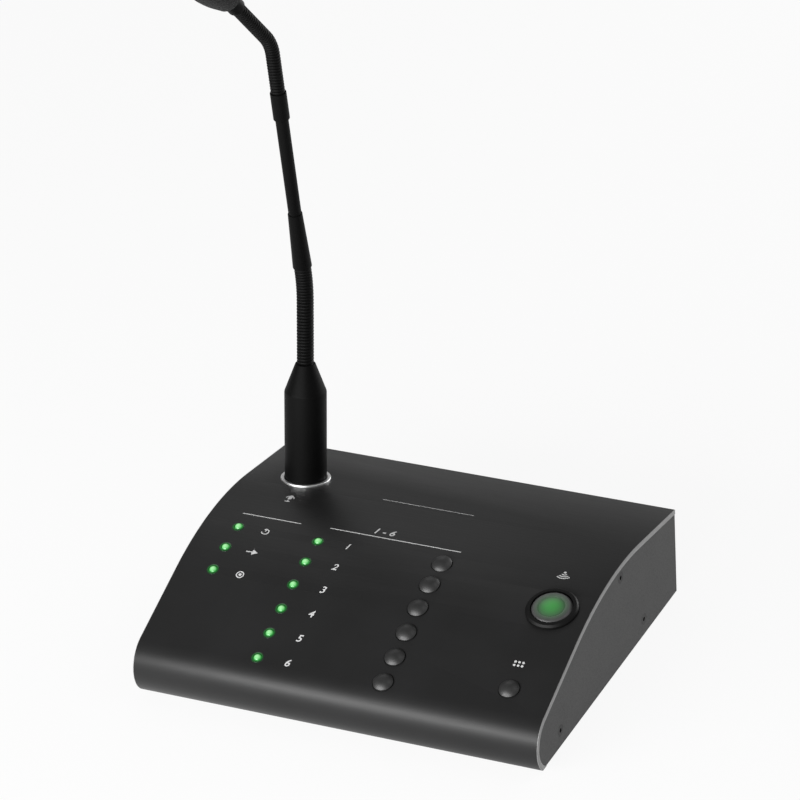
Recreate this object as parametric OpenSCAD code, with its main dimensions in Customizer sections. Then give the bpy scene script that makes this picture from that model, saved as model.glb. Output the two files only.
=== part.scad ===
// Desk paging microphone: a wedge console with lit zone buttons and a plug-in gooseneck microphone.
// Millimetres, +Z up, +Y to the rear, origin under the middle of the console at the table.

/* [Console] */
// Width of the console from end to end
body_w = 200; // [170:1:240]
// Radius of the rounded front nose
nose_r = 15; // [13:0.5:17]
// Height of the nose's centre above the console's bottom edge
nose_z = 11.6; // [10:0.1:12.4]
// Angle of the straight front slope
slope = 22; // [20:0.5:24]
// Length of the straight front slope
slope_len = 41; // [36:0.5:46]
// Radius of the arched top
top_r = 149; // [140:1:160]
// Angle that the arched top turns through
top_turn = 30; // [28:0.5:32]
// Length of the straight stretch at the back of the top
back_len = 44.5; // [42:0.5:50]
// Thickness of the extruded cover
shell_t = 2.5; // [2:0.1:3]
// Thickness of the end plates
end_t = 3; // [2.6:0.1:4]
// Depth of the end plates inside the cover's cut edge
end_recess = 0.4; // [0.2:0.1:1]
// Thickness of the base plate
base_t = 1.6; // [1.2:0.1:2]
// Height of the base plate's side flanges
flange_h = 14; // [12:0.5:18]
// Height of the base plate's rear flange
rear_flange_h = 8.5; // [7.5:0.5:9]
// Thickness of the rear panel
rear_t = 1.6; // [1.2:0.1:2]
// Clearance between plates that lie against each other
plate_gap = 0.1; // [0.05:0.01:0.2]

/* [Fasteners] */
// Diameter of all screw shanks
screw_d = 3; // [2.5:0.1:3.5]
// Diameter of the screw heads
head_d = 5.6; // [5.2:0.1:6]
// Height of the cheese-head screws' heads
head_h = 1.8; // [1.4:0.1:2.2]
// Width across the flats of the screws' hexagon sockets
key_w = 2; // [1.5:0.1:2.4]
// Depth of the screws' hexagon sockets
key_depth = 1; // [0.8:0.1:1.2]
// Clearance round a sunk screw head
head_gap = 0.5; // [0.3:0.1:0.8]
// Radial clearance of a shank in its hole
screw_gap = 0.05; // [0.03:0.01:0.1]
// Length of the end plates' screws
end_screw_len = 9; // [8:0.5:12]
// Length of the rear panel's screws
rear_screw_len = 6; // [5:0.5:7]
// Distance of the lower front end screws ahead of the middle
front_screw_y = 57; // [50:1:60]
// Distance of the lower rear end screws behind the middle
rear_screw_y = 43; // [36:1:60]
// Height of the lower end screws above the console's bottom edge
low_screw_z = 8; // [7:0.5:9]
// Place of the upper end screws, along the arch from the slope's end
top_screw_s = 55; // [50:1:58]
// Radius of the screw channel under the arch
channel_r = 3.4; // [3:0.1:4]
// Depth of the screw channel's axis below the cover's inner surface
channel_drop = 4.4; // [4:0.1:5]
// Diameter of the clinch nuts
nut_d = 5.6; // [5:0.1:6]
// Length of the clinch nuts
nut_l = 3; // [2.5:0.1:4]
// Distance of the rear panel's outer screws from the ends
rear_screw_in = 15; // [12:1:25]
// Distance of the middle rear screw from the link board's posts beside it
rear_screw_off = 6; // [5.5:0.5:10]

/* [Feet] */
// Height of the feet's screw heads above the table
foot_clear = 0.2; // [0.1:0.1:0.6]
// Diameter of the rubber feet
foot_d = 16; // [12:0.5:18]
// Distance of the feet from the console's ends
foot_x = 18; // [14:0.5:24]
// Distance of the feet from the base plate's front and rear edges
foot_y = 16; // [12:0.5:20]
// Rubber between the feet's screw heads and the base plate
foot_seat = 1; // [0.8:0.1:2]

/* [Controls] */
// Distance between neighbouring rows of controls
row_pitch = 14.2; // [13.6:0.1:14.8]
// Place of the lowest row, up the slope from the nose
row_first = 1.6; // [0.5:0.1:3]
// Column of the status lamps, from the left end
status_in = 18; // [16:1:24]
// Number of status lamps
status_n = 3; // [1:1:3]
// Column of the zone lamps, from the left end
zone_lamp_in = 59; // [50:1:66]
// Column of the zone buttons, from the right end
button_in = 78.5; // [70:0.5:84]
// Column of the all-zones button, from the right end
all_in = 21; // [18:0.5:26]
// Place of the all-zones button, up the slope from the nose
all_u = 11; // [8:0.5:16]
// Diameter of the lamps
lamp_d = 4.2; // [3:0.1:5]
// Height of the lamps' domes above the panel
lamp_proud = 1; // [0.6:0.1:1.4]
// Length of the lamps' bodies
lamp_l = 6; // [5:0.1:7]
// Width of the lamps' wire legs
leg_w = 0.6; // [0.4:0.05:0.8]
// Clearance round each lamp in its hole
lamp_gap = 0.12; // [0.08:0.01:0.3]
// Diameter of the zone buttons
button_d = 9.5; // [8.5:0.1:10]
// Height of the zone buttons above the panel
button_proud = 2.6; // [2.2:0.1:3.2]
// Height of the buttons' domes
dome_h = 2.1; // [1:0.1:2.4]
// Clearance round each button in its hole
button_gap = 0.3; // [0.25:0.01:0.4]
// Travel of the zone buttons
button_travel = 1; // [0.8:0.1:1.2]
// Width of the buttons' retaining rims beyond their sides
rim_w = 0.9; // [0.7:0.05:1]
// Thickness of the buttons' retaining rims
rim_t = 0.8; // [0.6:0.1:1]
// Diameter of the buttons' stems
stem_d = 3.8; // [3.4:0.1:4.2]
// Depth of a stem in its switch at rest
stem_in = 1; // [0.8:0.1:1.2]
// Clearance of a stem in its switch
stem_gap = 0.2; // [0.15:0.01:0.3]

/* [Boards] */
// Room between a pressed button's rim and its switch
switch_clear = 1.2; // [0.8:0.1:2]
// Thickness of the boards
board_t = 1.6; // [1.2:0.1:2]
// Clearance between the control board and the end plates
board_side = 5; // [4:0.5:6]
// Clearance of the control board round the call button
board_hole_gap = 1; // [0.6:0.1:1.6]
// Reach of the control board below the lowest row
board_low = 5.5; // [5:0.5:7]
// Reach of the control board above the highest row
board_high = 7.5; // [6.5:0.5:8]
// Width of the push switches
switch_w = 8; // [7:0.5:8.5]
// Height of the push switches
switch_h = 4.3; // [4:0.1:4.5]
// Diameter of the board posts
post_d = 6; // [5:0.5:7]
// Column of the control board's left posts, from the left end
post_left = 38; // [34:1:44]
// Column of the control board's right posts, from the right end
post_right = 48; // [40:1:60]
// Distance of the control board's posts from its lower and upper edges
post_edge = 6.5; // [6:0.5:8]
// Length of the board screws
board_screw_len = 6; // [5:0.5:7]
// Height of the link board above the base plate
link_h = 8; // [7.5:0.5:10]
// Width of the link board
link_w = 74; // [70:1:80]
// Depth of the link board
link_d = 42; // [38:1:48]
// Distance of the link board from the console's right end
link_in = 25; // [19:1:33]
// Inset of the link board's posts from its edges
link_inset = 5; // [4.5:0.5:7]
// Width of the link socket
socket_w = 16; // [15:0.1:17]
// Height of the link socket
socket_h = 13.4; // [12.5:0.1:14]
// Depth of the link socket
socket_d = 18; // [16:0.5:20]
// Width of the link socket's mouth
mouth_w = 11.8; // [11.7:0.1:12.2]
// Height of the link socket's mouth
mouth_h = 8; // [7:0.1:8.2]
// Depth of the link socket's mouth
mouth_d = 13; // [11:0.5:14]
// Place of the link socket from the link board's middle, to the left
socket_x = 16; // [12:0.5:22]
// Width of the power inlet
inlet_w = 9.6; // [9:0.1:11]
// Height of the power inlet
inlet_h = 11; // [10:0.1:12]
// Depth of the power inlet
inlet_d = 14; // [12.5:0.5:16]
// Bore of the power inlet
inlet_bore = 6.2; // [5.5:0.1:6.4]
// Depth of the power inlet's bore
inlet_depth = 9.5; // [8.5:0.5:10]
// Diameter of the power inlet's centre pin
inlet_pin = 2; // [1.6:0.1:2.5]
// Depth of the power inlet's pin inside its mouth
inlet_recess = 1; // [0.5:0.1:2]
// Place of the power inlet from the link board's middle, to the right
inlet_x = 18; // [13:0.5:22]
// Clearance of the connectors in the rear panel
port_gap = 0.2; // [0.1:0.05:0.4]
// Width of the flat cable
ribbon_w = 20; // [14:1:24]
// Thickness of the flat cable
ribbon_t = 0.9; // [0.7:0.1:1.2]
// Column of the flat cable from the link board's middle, to the left
ribbon_off = 8; // [0:1:12]
// Place of the flat cable's end on the control board, up the slope
ribbon_u = 50; // [44:1:56]
// Distance of the flat cable's other end from the link board's front edge
ribbon_in = 7; // [5:0.5:9]
// Sag of the flat cable
ribbon_sag = 6; // [4:0.5:8]
// Diameter of the inner leads
lead_d = 3; // [2.4:0.1:3.4]
// Straight length of the cable and the leads at their ends
lead_out = 6; // [5:0.5:7]
// Place of the microphone lead's end on the control board, up the slope
mic_lead_u = 66; // [60:1:70]
// Sag of the microphone lead
mic_sag = 9; // [6:0.5:12]
// Place of the call lead's end on the control board, up the slope
call_lead_u = 30; // [26:1:34]
// Sag of the call lead
call_sag = 5; // [3:0.5:7]

/* [Call button] */
// Column of the call button, from the right end
call_in = 18; // [18:0.5:22]
// Place of the call button, along the top from the slope's start
call_s = 57.6; // [54:0.5:62]
// Width of the call button's bezel beyond its barrel
bezel_lip = 1.5; // [1:0.1:2]
// Height of the bezel above the panel
bezel_h = 2; // [1.6:0.1:2.6]
// Wall of the bezel's threaded barrel
barrel_wall = 0.9; // [0.7:0.1:1.2]
// Length of the bezel's barrel below the panel's surface
barrel_l = 13; // [12:0.5:15]
// Diameter of the call button's cap
cap_d = 19; // [18:0.1:19.4]
// Clearance round the cap
cap_gap = 0.3; // [0.25:0.01:0.4]
// Height of the cap's edge above the panel
cap_proud = 2; // [1.6:0.1:2.4]
// Thickness of the cap
cap_t = 4.5; // [4:0.1:5]
// Travel of the call button
call_travel = 1.5; // [1:0.1:2]
// Diameter of the call button's lens
lens_d = 12; // [10:0.1:13]
// Thickness of the lens in the cap
lens_t = 2; // [1.5:0.1:2.5]
// Height of the lens's dome
lens_h = 1; // [0.6:0.1:1.2]
// Clearance round the lens
lens_gap = 0.05; // [0.03:0.01:0.1]
// Width of the ring nuts beyond their threads
ring_nut_w = 2.5; // [2:0.1:3]
// Thickness of the ring nuts
ring_nut_t = 2.6; // [2:0.1:3]
// Depth of the contact block below the barrel
block_l = 9; // [7:0.5:11]
// Clearance of threads and push fits
thread_gap = 0.05; // [0.03:0.01:0.1]

/* [Microphone plug] */
// Place of the microphone, from the left end
mic_in = 28; // [26:0.5:34]
// Distance of the microphone's axis from the top's back edge
mic_back = 38.9; // [34:0.1:40]
// Diameter of the microphone's plug barrel
plug_d = 20; // [19:0.1:20.6]
// Height of the plug's straight barrel above the panel
plug_h = 44.3; // [40:0.1:48]
// Height of the plug's tapered shoulder
shoulder_h = 14; // [12:0.5:18]
// Wall of the shoulder's top round the neck
shoulder_wall = 0.6; // [0.5:0.1:1]
// Depth of the plug in its socket
plug_in = 15; // [13:0.5:17]
// Wall of the plug round its pins
plug_wall = 2; // [1.6:0.1:2.2]
// Clearance between plug and socket
plug_gap = 0.15; // [0.1:0.01:0.25]
// Wall of the socket's tube
tube_wall = 1.15; // [0.9:0.05:1.4]
// Width of the socket's bright ring beyond its tube
ring_lip = 0.6; // [0.4:0.1:1.2]
// Height of the socket's bright ring
ring_h = 1; // [0.6:0.1:1.4]
// Floor thickness of the socket
socket_floor = 2; // [1.5:0.1:3]
// Clearance of the contact insert in the plug, all round and above
insert_gap = 0.4; // [0.2:0.1:0.8]
// Diameter of the contact pins
pin_d = 2.4; // [2:0.1:2.6]
// Length of the contact pins
pin_l = 10; // [8:0.5:11]
// Radius of the pins' circle
pin_r = 4.2; // [3.8:0.1:4.6]
// Thickness of the plug's pin plate
pin_plate_t = 4; // [3:0.5:5]

/* [Gooseneck] */
// Diameter of the lower flexible neck
low_flex_d = 8.1; // [7.6:0.1:9.2]
// Straight length of the lower flexible neck above the shoulder
low_flex_l = 30.4; // [26:0.2:34]
// Bend radius of the lower flexible neck
low_bend_r = 60; // [50:1:70]
// Forward bend of the lower flexible neck
low_bend = 15; // [10:0.5:20]
// Diameter of the upper flexible neck
top_flex_d = 6.7; // [6.4:0.1:8]
// Straight length of the upper flexible neck below its bend
top_flex_l = 25.5; // [20:0.5:30]
// Bend radius of the upper flexible neck
top_bend_r = 20; // [16:1:30]
// Forward bend of the upper flexible neck
top_bend = 33; // [20:1:50]
// Straight length of the upper flexible neck above its bend
top_flex_end = 32; // [24:0.5:36]
// Turn of the upper bend from straight ahead to the left
head_turn = 18; // [0:1:20]
// Depth of each flexible neck's end in its fitting
flex_in = 6; // [5:0.5:7]
// Length of the lower flexible neck's straight end past its bend
low_flex_end = 9; // [8.6:0.1:12]
// Distance between neighbouring ribs of the flexible necks
rib_pitch = 1.5; // [1.3:0.1:2]
// Depth of the ribs
rib_h = 0.4; // [0.3:0.05:0.6]
// Bore of the flexible necks
flex_bore = 4.4; // [4:0.1:5]
// Clearance of the necks in their fittings
flex_gap = 0.05; // [0.03:0.01:0.1]
// Diameter of the stem
stem_tube_d = 6.1; // [5.8:0.1:6.8]
// Bore of the stem
stem_bore = 4.6; // [4:0.1:5]
// Length of the stem between its fittings
stem_len = 51; // [30:1:60]
// Wall of the tapered sleeve's lower end
sleeve_wall = 0.4; // [0.3:0.05:0.8]
// Wall of the tapered sleeve's upper end
sleeve_tip = 0.3; // [0.2:0.05:0.5]
// Length of the tapered sleeve on the stem
sleeve_l = 29; // [24:1:50]
// Wall of the upper fitting round the neck
fitting_wall = 0.4; // [0.3:0.05:0.8]
// Length of the upper fitting
fitting_l = 14; // [13:0.5:18]

/* [Microphone head] */
// Wall of the head's collar round the neck
collar_wall = 0.7; // [0.5:0.1:1.2]
// Length of the head's collar
collar_l = 7; // [7:0.5:10]
// Diameter of the capsule housing
housing_d = 10.8; // [10:0.1:13]
// Length of the capsule housing
housing_l = 26; // [24:0.5:30]
// Wall of the capsule housing
housing_t = 0.9; // [0.7:0.1:1]
// Diameter of the capsule's sound port
port_d = 6; // [4:0.1:7]
// Depth of the capsule's sound port
port_depth = 1; // [0.5:0.1:2]
// Thickness of the capsule
capsule_t = 6; // [4.5:0.5:7]
// Number of sound slots in the housing
slots = 8; // [6:1:10]
// Width of the sound slots
slot_w = 1.6; // [1.2:0.1:2]
// Length of the sound slots
slot_l = 8; // [6:0.5:9]
// Distance of the sound slots behind the capsule
slot_gap = 5; // [3:0.5:6]
// Diameter of the foam windscreen
foam_d = 23; // [20:0.5:30]
// Length of the foam windscreen
foam_l = 42; // [38:0.5:48]
// Thickness of the windscreen at its mouth
foam_lip = 0.8; // [0.6:0.1:2]
// Length of housing left bare below the windscreen
foam_start = 0.5; // [0.5:0.5:3]

/* [Hidden] */
$fn = 64;

// Small overrun that carries a cut clear of a face
over = 1;
// How far the flat stretches lie inside the tangents of the rounds, so that they meet in clean edges
flat_in = 0.01;
// Number of zones, one button and lamp each
zones = 6;
// Sides of the flexible necks and the inner leads
ring_sides = 8;
// Steps along a flexible neck's bore
bore_steps = 8;

// Diameters that follow from what goes inside
foot_h = foot_clear + head_h + foot_seat;
hole_d = screw_d + 2 * screw_gap;
cap_bore = cap_d + 2 * cap_gap;
barrel_d = cap_bore + 2 * barrel_wall;
bezel_d = barrel_d + 2 * bezel_lip;
plug_bore = plug_d - 2 * plug_wall;
insert_d = plug_bore - 2 * insert_gap;
tube_bore = plug_d + 2 * plug_gap;
tube_d = tube_bore + 2 * tube_wall;
ring_d = tube_d + 2 * ring_lip;
low_bore = low_flex_d + 2 * flex_gap;
shoulder_d = low_bore + 2 * shoulder_wall;
sleeve_d = low_bore + 2 * sleeve_wall;
stem_seat = stem_tube_d + 2 * flex_gap;
sleeve_top_d = stem_seat + 2 * sleeve_tip;
top_bore = top_flex_d + 2 * flex_gap;
fitting_d = top_bore + 2 * fitting_wall;
collar_d = top_bore + 2 * collar_wall;
housing_bore = housing_d - 2 * housing_t;

// Console profile, as points in Y and Z
fall = top_turn - slope;
slope_out = [-sin(slope), cos(slope)];
slope_run = [cos(slope), sin(slope)];
back_out = [sin(fall), cos(fall)];
back_run = [cos(fall), -sin(fall)];
body_d = nose_r * (1 - sin(slope)) + slope_len * cos(slope) + top_r * (sin(slope) + sin(fall))
  + back_len * cos(fall);
back_y = body_d / 2;
nose_c = [nose_r - back_y, foot_h + nose_z];
slope_a = nose_c + nose_r * slope_out;
slope_b = slope_a + slope_len * slope_run;
arch_c = slope_b - top_r * slope_out;
back_a = arch_c + top_r * back_out;
back_b = back_a + back_len * back_run;
inner_w = body_w - 2 * (end_recess + end_t + plate_gap);
base_front = nose_c[0] - sqrt(pow(nose_r - shell_t, 2) - pow(nose_z, 2)) + plate_gap;
base_back = back_y - rear_t - plate_gap;
base_top = foot_h + base_t;

// Screw places on the end plates, in Y and Z
channel_a = slope - top_screw_s / top_r * 180 / PI;
channel_c = arch_c + (top_r - shell_t - channel_drop) * [-sin(channel_a), cos(channel_a)];
low_screws = [[-front_screw_y, foot_h + low_screw_z], [rear_screw_y, foot_h + low_screw_z]];
end_points = concat(low_screws, [channel_c]);
feet_at = [for (sx = [-1, 1], y = [base_front + foot_y, base_back - foot_y]) [sx * (body_w / 2 - foot_x), y]];
rear_screw_pitch = body_w / 2 - rear_screw_in;

// Controls, in columns that keep their distance from the ends
status_x = body_w / 2 - status_in;
zone_lamp_x = body_w / 2 - zone_lamp_in;
button_x = body_w / 2 - button_in;
all_x = body_w / 2 - all_in;
call_x = body_w / 2 - call_in;
mic_x = body_w / 2 - mic_in;
rows = [for (i = [0:zones - 1]) row_first + (zones - 1 - i) * row_pitch];
board_a = row_first - board_low;
board_b = rows[0] + board_high;
post_rows = [board_a + post_edge, (board_a + board_b) / 2, board_b - post_edge];
posts = [for (x = [post_left - body_w / 2, body_w / 2 - post_right], u = post_rows) [x, u]];
switch_spots = concat([for (u = rows) [button_x, u]], [[all_x, all_u]]);
button_r = button_d / 2;
rim_r = button_r + rim_w;
board_n = inner_drop(rows[0] + rim_r) + button_gap + rim_t + button_travel + switch_clear + switch_h;
switch_top = switch_h - board_n;
call_a = slope - (call_s - slope_len) / top_r * 180 / PI;

// Link board
link_x = body_w / 2 - link_in - link_w / 2;
ribbon_x = link_x - ribbon_off;
link_z = base_top + link_h;
link_y = base_back - base_t - plate_gap - link_d / 2;
link_deck = link_z + board_t;
link_post_x = link_w / 2 - link_inset;
link_post_y = link_d / 2 - link_inset;
link_spots = [for (sx = [-1, 1], sy = [-1, 1]) [link_x + sx * link_post_x, link_y + sy * link_post_y]];
rear_screw_x = [-rear_screw_pitch, link_x - link_post_x - rear_screw_off, rear_screw_pitch];
ports = [[link_x - socket_x, socket_w, socket_h], [link_x + inlet_x, inlet_w, inlet_h]];

// Where the inner wiring ends, in Y and Z
slope_under = board_n + board_t;
mic_point = back_b - mic_back * back_run;
socket_end = plug_in + plug_gap + socket_floor;
call_out = [-sin(call_a), cos(call_a)];
call_point = arch_c + top_r * call_out;
ribbon_end = [link_y - link_d / 2 + ribbon_in, link_deck];
round_lead = [for (i = [0:ring_sides - 1]) let (a = i * 360 / ring_sides) lead_d / 2 * [cos(a), sin(a)]];

// Gooseneck, in the plug's own frame
shoulder_z = plug_h + shoulder_h;
pin_plate_z = pin_l + insert_gap - plug_in;
stem_start = low_flex_end - flex_in;
stem_end = stem_start + sleeve_l + stem_len;
top_flex_z = stem_end + fitting_l - flex_in;
low_arc = low_bend_r * low_bend * PI / 180;
top_arc = top_bend_r * top_bend * PI / 180;
low_rise = shoulder_z + low_flex_l + low_bend_r * sin(low_bend);
top_rise = top_flex_z + top_flex_l + top_bend_r * sin(top_bend);
head_z = top_flex_end - flex_in + collar_l;

// How far the panel's outer surface lies below the slope's plane, u up the slope
function drop(u) = u <= slope_len ? 0 : top_r - sqrt(pow(top_r, 2) - pow(u - slope_len, 2));
// The same for the panel's inner surface
function inner_drop(u) = u < 0 ? nose_r - sqrt(pow(nose_r - shell_t, 2) - pow(u, 2))
  : u <= slope_len ? shell_t : top_r - sqrt(pow(top_r - shell_t, 2) - pow(u - slope_len, 2));

// A point and lean of a neck that runs straight and then bends forward, t along it
function neck_lean(t, l, r, a) = t <= l ? 0 : min(a, (t - l) / r * 180 / PI);
function neck_point(t, l, r, a) = let (q = neck_lean(t, l, r, a), e = max(0, t - l - r * a * PI / 180))
  [-r * (1 - cos(q)) - e * sin(q), min(t, l) + r * sin(q) + e * cos(q)];
// One ring of points round a neck
function neck_ring(t, l, r, a, d) = let (p = neck_point(t, l, r, a), q = neck_lean(t, l, r, a))
  [for (i = [0:ring_sides - 1]) let (w = i * 360 / ring_sides, y = d / 2 * sin(w))
    [d / 2 * cos(w), p[0] + y * cos(q), p[1] + y * sin(q)]];
// Triangles that join ring i to ring j of n points, and the other way round
function band(i, j, n) = [for (k = [0:n - 1], s = [0, 1]) let (m = (k + 1) % n)
  s == 0 ? [i * n + k, j * n + k, j * n + m] : [i * n + k, j * n + m, i * n + m]];
// A point below the slope's plane by n, in Y and Z, u up the slope
function board_point(u, n) = slope_a + u * slope_run - n * slope_out;
// Route of a lead that leaves p along v, hangs by sag and comes to q from the side that w points to
function hung(p, v, q, w, sag) = let (a = p + lead_out * v, b = q + lead_out * w)
  concat([p, a], [for (f = [1 / 6:1 / 6:5 / 6]) a + f * (b - a) - [0, 4 * sag * f * (1 - f)]], [b, q]);
// One cross-section of a strip or lead that follows points p in Y and Z
function strip_ring(p, i, x, section) = let (
  u = p[min(i + 1, len(p) - 1)] - p[max(i - 1, 0)], v = u / norm(u))
  [for (s = section) [x + s[0], p[i][0] - s[1] * v[1], p[i][1] + s[1] * v[0]]];

// Outline of the console seen from its end, pulled in by inset and let out below and behind by beyond
module outline(inset = 0, beyond = 0) {
  r = nose_r - inset;
  arch = top_r - inset;
  low = foot_h - beyond;
  back = back_y + beyond;
  front = nose_c[0] - r - over;
  a = nose_c + (r - flat_in) * slope_out;
  c = arch_c + (arch - flat_in) * back_out;
  corner = a - slope_run * (a[0] - front) / slope_run[0];
  apex = arch_c + (arch - flat_in) * (slope_out + slope_run * tan(top_turn / 2));
  difference() {
    polygon([[front, low], corner, apex, c + back_run * (back - c[0]) / back_run[0], [back, low]]);
    difference() {
      polygon([[front - over, low - over], [nose_c[0], low - over], nose_c, nose_c + (r + over) * slope_out,
        corner + over * slope_out, [front - over, corner[1]]]);
      translate(nose_c) circle(r);
    }
    difference() {
      polygon([arch_c, arch_c + (arch + over) * slope_out, apex + [0, over],
        arch_c + (arch + over) * back_out]);
      translate(arch_c) circle(arch, $fn = 256);
    }
  }
}

// Extrusion of a Y-Z outline along X, centred
module along_x(w) translate([-w / 2, 0, 0]) rotate([90, 0, 90]) linear_extrude(w) children();
// Frame on the slope: X across, Y up the slope, Z out of the panel
module at_slope(x, u) translate([x, slope_a[0], slope_a[1]]) rotate([slope, 0, 0])
  translate([0, u, 0]) children();
// Frame of the call button on the arch
module at_call() translate([call_x, arch_c[0], arch_c[1]]) rotate([call_a, 0, 0])
  translate([0, 0, top_r]) children();
// Frame of the microphone's socket on the back stretch
module at_mic() translate([-mic_x, back_b[0], back_b[1]]) rotate([-fall, 0, 0])
  translate([0, -mic_back, 0]) children();
// Frame at the end of the lower bend, along the stem
module at_stem() at_mic() translate([0, -low_bend_r * (1 - cos(low_bend)), low_rise])
  rotate([low_bend, 0, 0]) children();
// The stem's frame, turned to where the upper bend points
module at_turn() at_stem() rotate([0, 0, -head_turn]) children();
// Frame at the end of the upper bend, along the head
module at_head() at_turn() translate([0, -top_bend_r * (1 - cos(top_bend)), top_rise])
  rotate([top_bend, 0, 0]) children();
// Screw with a shank up from a seat at zero and a cheese head below it
module cheese_screw(l) {
  difference() {
    union() {
      cylinder(d = screw_d, h = l);
      translate([0, 0, -head_h]) cylinder(d = head_d, h = head_h);
    }
    translate([0, 0, -head_h - over]) cylinder(d = key_w / cos(30), h = over + key_depth, $fn = 6);
  }
}
// Countersunk screw with its flat head at zero and its shank down
module flush_screw(l) {
  cone = (head_d - screw_d) / 2;
  difference() {
    union() {
      translate([0, 0, -l]) cylinder(d = screw_d, h = l);
      translate([0, 0, -cone]) cylinder(d1 = screw_d, d2 = head_d, h = cone);
    }
    translate([0, 0, -key_depth]) cylinder(d = key_w / cos(30), h = key_depth + over, $fn = 6);
  }
}
// Clearance hole for a countersunk screw
module flush_hole(l) {
  cone = (head_d - screw_d) / 2 + screw_gap;
  translate([0, 0, -l]) cylinder(d = hole_d, h = l + over);
  translate([0, 0, -cone]) cylinder(d1 = hole_d, d2 = head_d + 4 * screw_gap, h = cone);
  cylinder(d = head_d + 4 * screw_gap, h = over);
}
// Places on one end plate, with Z out of the plate; side is -1 on the left and 1 on the right
module at_end(side, p) translate([side * (body_w / 2 - end_recess), p[0], p[1]])
  rotate([0, 90 * side, 0]) children();
// Places on the rear panel, with Z out of it
module at_rear(x) translate([x, back_y, base_top + rear_flange_h / 2]) rotate([-90, 0, 0]) children();

module top_cover() color("#2c2c2e") difference() {
  union() {
    along_x(body_w) difference() {
      outline();
      outline(shell_t, over);
    }
    along_x(inner_w) translate(channel_c) rotate(channel_a) union() {
      circle(channel_r);
      translate([-channel_r, 0]) square([2 * channel_r, channel_drop + shell_t / 2]);
    }
  }
  along_x(body_w) translate(channel_c) circle(d = hole_d);
  for (i = [0:status_n - 1]) at_slope(-status_x, rows[i]) lamp_hole();
  for (u = rows) at_slope(-zone_lamp_x, u) lamp_hole();
  for (s = switch_spots) at_slope(s[0], s[1]) translate([0, 0, -board_n])
    cylinder(d = button_d + 2 * button_gap, h = 2 * board_n);
  at_call() translate([0, 0, -barrel_l]) cylinder(d = barrel_d + 2 * thread_gap, h = 2 * barrel_l);
  at_mic() translate([0, 0, -plug_in]) cylinder(d = tube_d + 2 * thread_gap, h = 2 * plug_in);
}
module lamp_hole() translate([0, 0, -board_n]) cylinder(d = lamp_d + 2 * lamp_gap, h = 2 * board_n);

module end_plate(side) color("#4a4a4c") difference() {
  translate([side * (body_w / 2 - end_recess - end_t / 2), 0, 0]) along_x(end_t) outline(shell_t + plate_gap);
  for (p = end_points) at_end(side, p) flush_hole(2 * end_t);
}
module left_end_plate() end_plate(-1);
module right_end_plate() end_plate(1);

module end_screws() color("#1c1c1e") for (side = [-1, 1], p = end_points) at_end(side, p)
  flush_screw(end_screw_len);

module clinch_nuts() color("silver") for (side = [-1, 1], p = low_screws) at_end(side, p)
  translate([0, 0, -end_t - plate_gap - base_t - nut_l]) difference() {
    cylinder(d = nut_d, h = nut_l);
    translate([0, 0, -over]) cylinder(d = hole_d, h = nut_l + 2 * over);
  }

module base_plate() color("#8f9296") difference() {
  union() {
    translate([-inner_w / 2, base_front, foot_h]) cube([inner_w, base_back - base_front, base_t]);
    for (side = [0, 1]) mirror([side, 0, 0]) translate([inner_w / 2 - base_t, -front_screw_y - nut_d, foot_h])
      cube([base_t, front_screw_y + rear_screw_y + 2 * nut_d, base_t + flange_h]);
    translate([-rear_screw_pitch - nut_d, base_back - base_t, foot_h])
      cube([2 * (rear_screw_pitch + nut_d), base_t, base_t + rear_flange_h]);
  }
  for (side = [-1, 1], p = low_screws) at_end(side, p) translate([0, 0, -2 * end_screw_len])
    cylinder(d = hole_d, h = 2 * end_screw_len);
  for (x = rear_screw_x) at_rear(x) translate([0, 0, -2 * rear_screw_len])
    cylinder(d = hole_d, h = 2 * rear_screw_len);
  for (p = feet_at) translate([p[0], p[1], 0]) cylinder(d = hole_d, h = base_top + over);
}

module rubber_feet() color("#151515") for (p = feet_at) translate([p[0], p[1], 0]) difference() {
  cylinder(d = foot_d, h = foot_h);
  translate([0, 0, -over]) cylinder(d = head_d + 2 * head_gap, h = over + foot_h - foot_seat);
  cylinder(d = hole_d, h = foot_h + over);
}
module foot_screws() color("silver") for (p = feet_at) translate([p[0], p[1], foot_h - foot_seat])
  cheese_screw(foot_seat + base_t + screw_d / 2);

module rear_panel() color("#1f1f21") difference() {
  c = arch_c + (top_r - shell_t - plate_gap) * back_out;
  top = c[1] - (back_y - c[0]) * tan(fall);
  translate([-inner_w / 2, back_y - rear_t, foot_h]) cube([inner_w, rear_t, top - foot_h]);
  for (x = rear_screw_x) at_rear(x) flush_hole(2 * rear_t);
  for (p = ports) translate([p[0] - p[1] / 2 - port_gap, back_y - rear_t - over, link_deck - port_gap])
    cube([p[1] + 2 * port_gap, rear_t + 2 * over, p[2] + 2 * port_gap]);
}
module rear_screws() color("#1c1c1e") for (x = rear_screw_x) at_rear(x) flush_screw(rear_screw_len);

module link_board() color("#1f5a34") difference() {
  translate([link_x - link_w / 2, link_y - link_d / 2, link_z]) cube([link_w, link_d, board_t]);
  for (p = link_spots) translate([p[0], p[1], link_z - over]) cylinder(d = hole_d, h = board_t + 2 * over);
}
module link_posts() color("silver") for (p = link_spots) translate([p[0], p[1], base_top]) difference() {
  cylinder(d = post_d, h = link_h);
  translate([0, 0, link_h - board_screw_len]) cylinder(d = hole_d, h = link_h);
}
module link_screws() color("silver") for (p = link_spots) translate([p[0], p[1], link_deck]) mirror([0, 0, 1])
  cheese_screw(board_screw_len);

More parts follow.
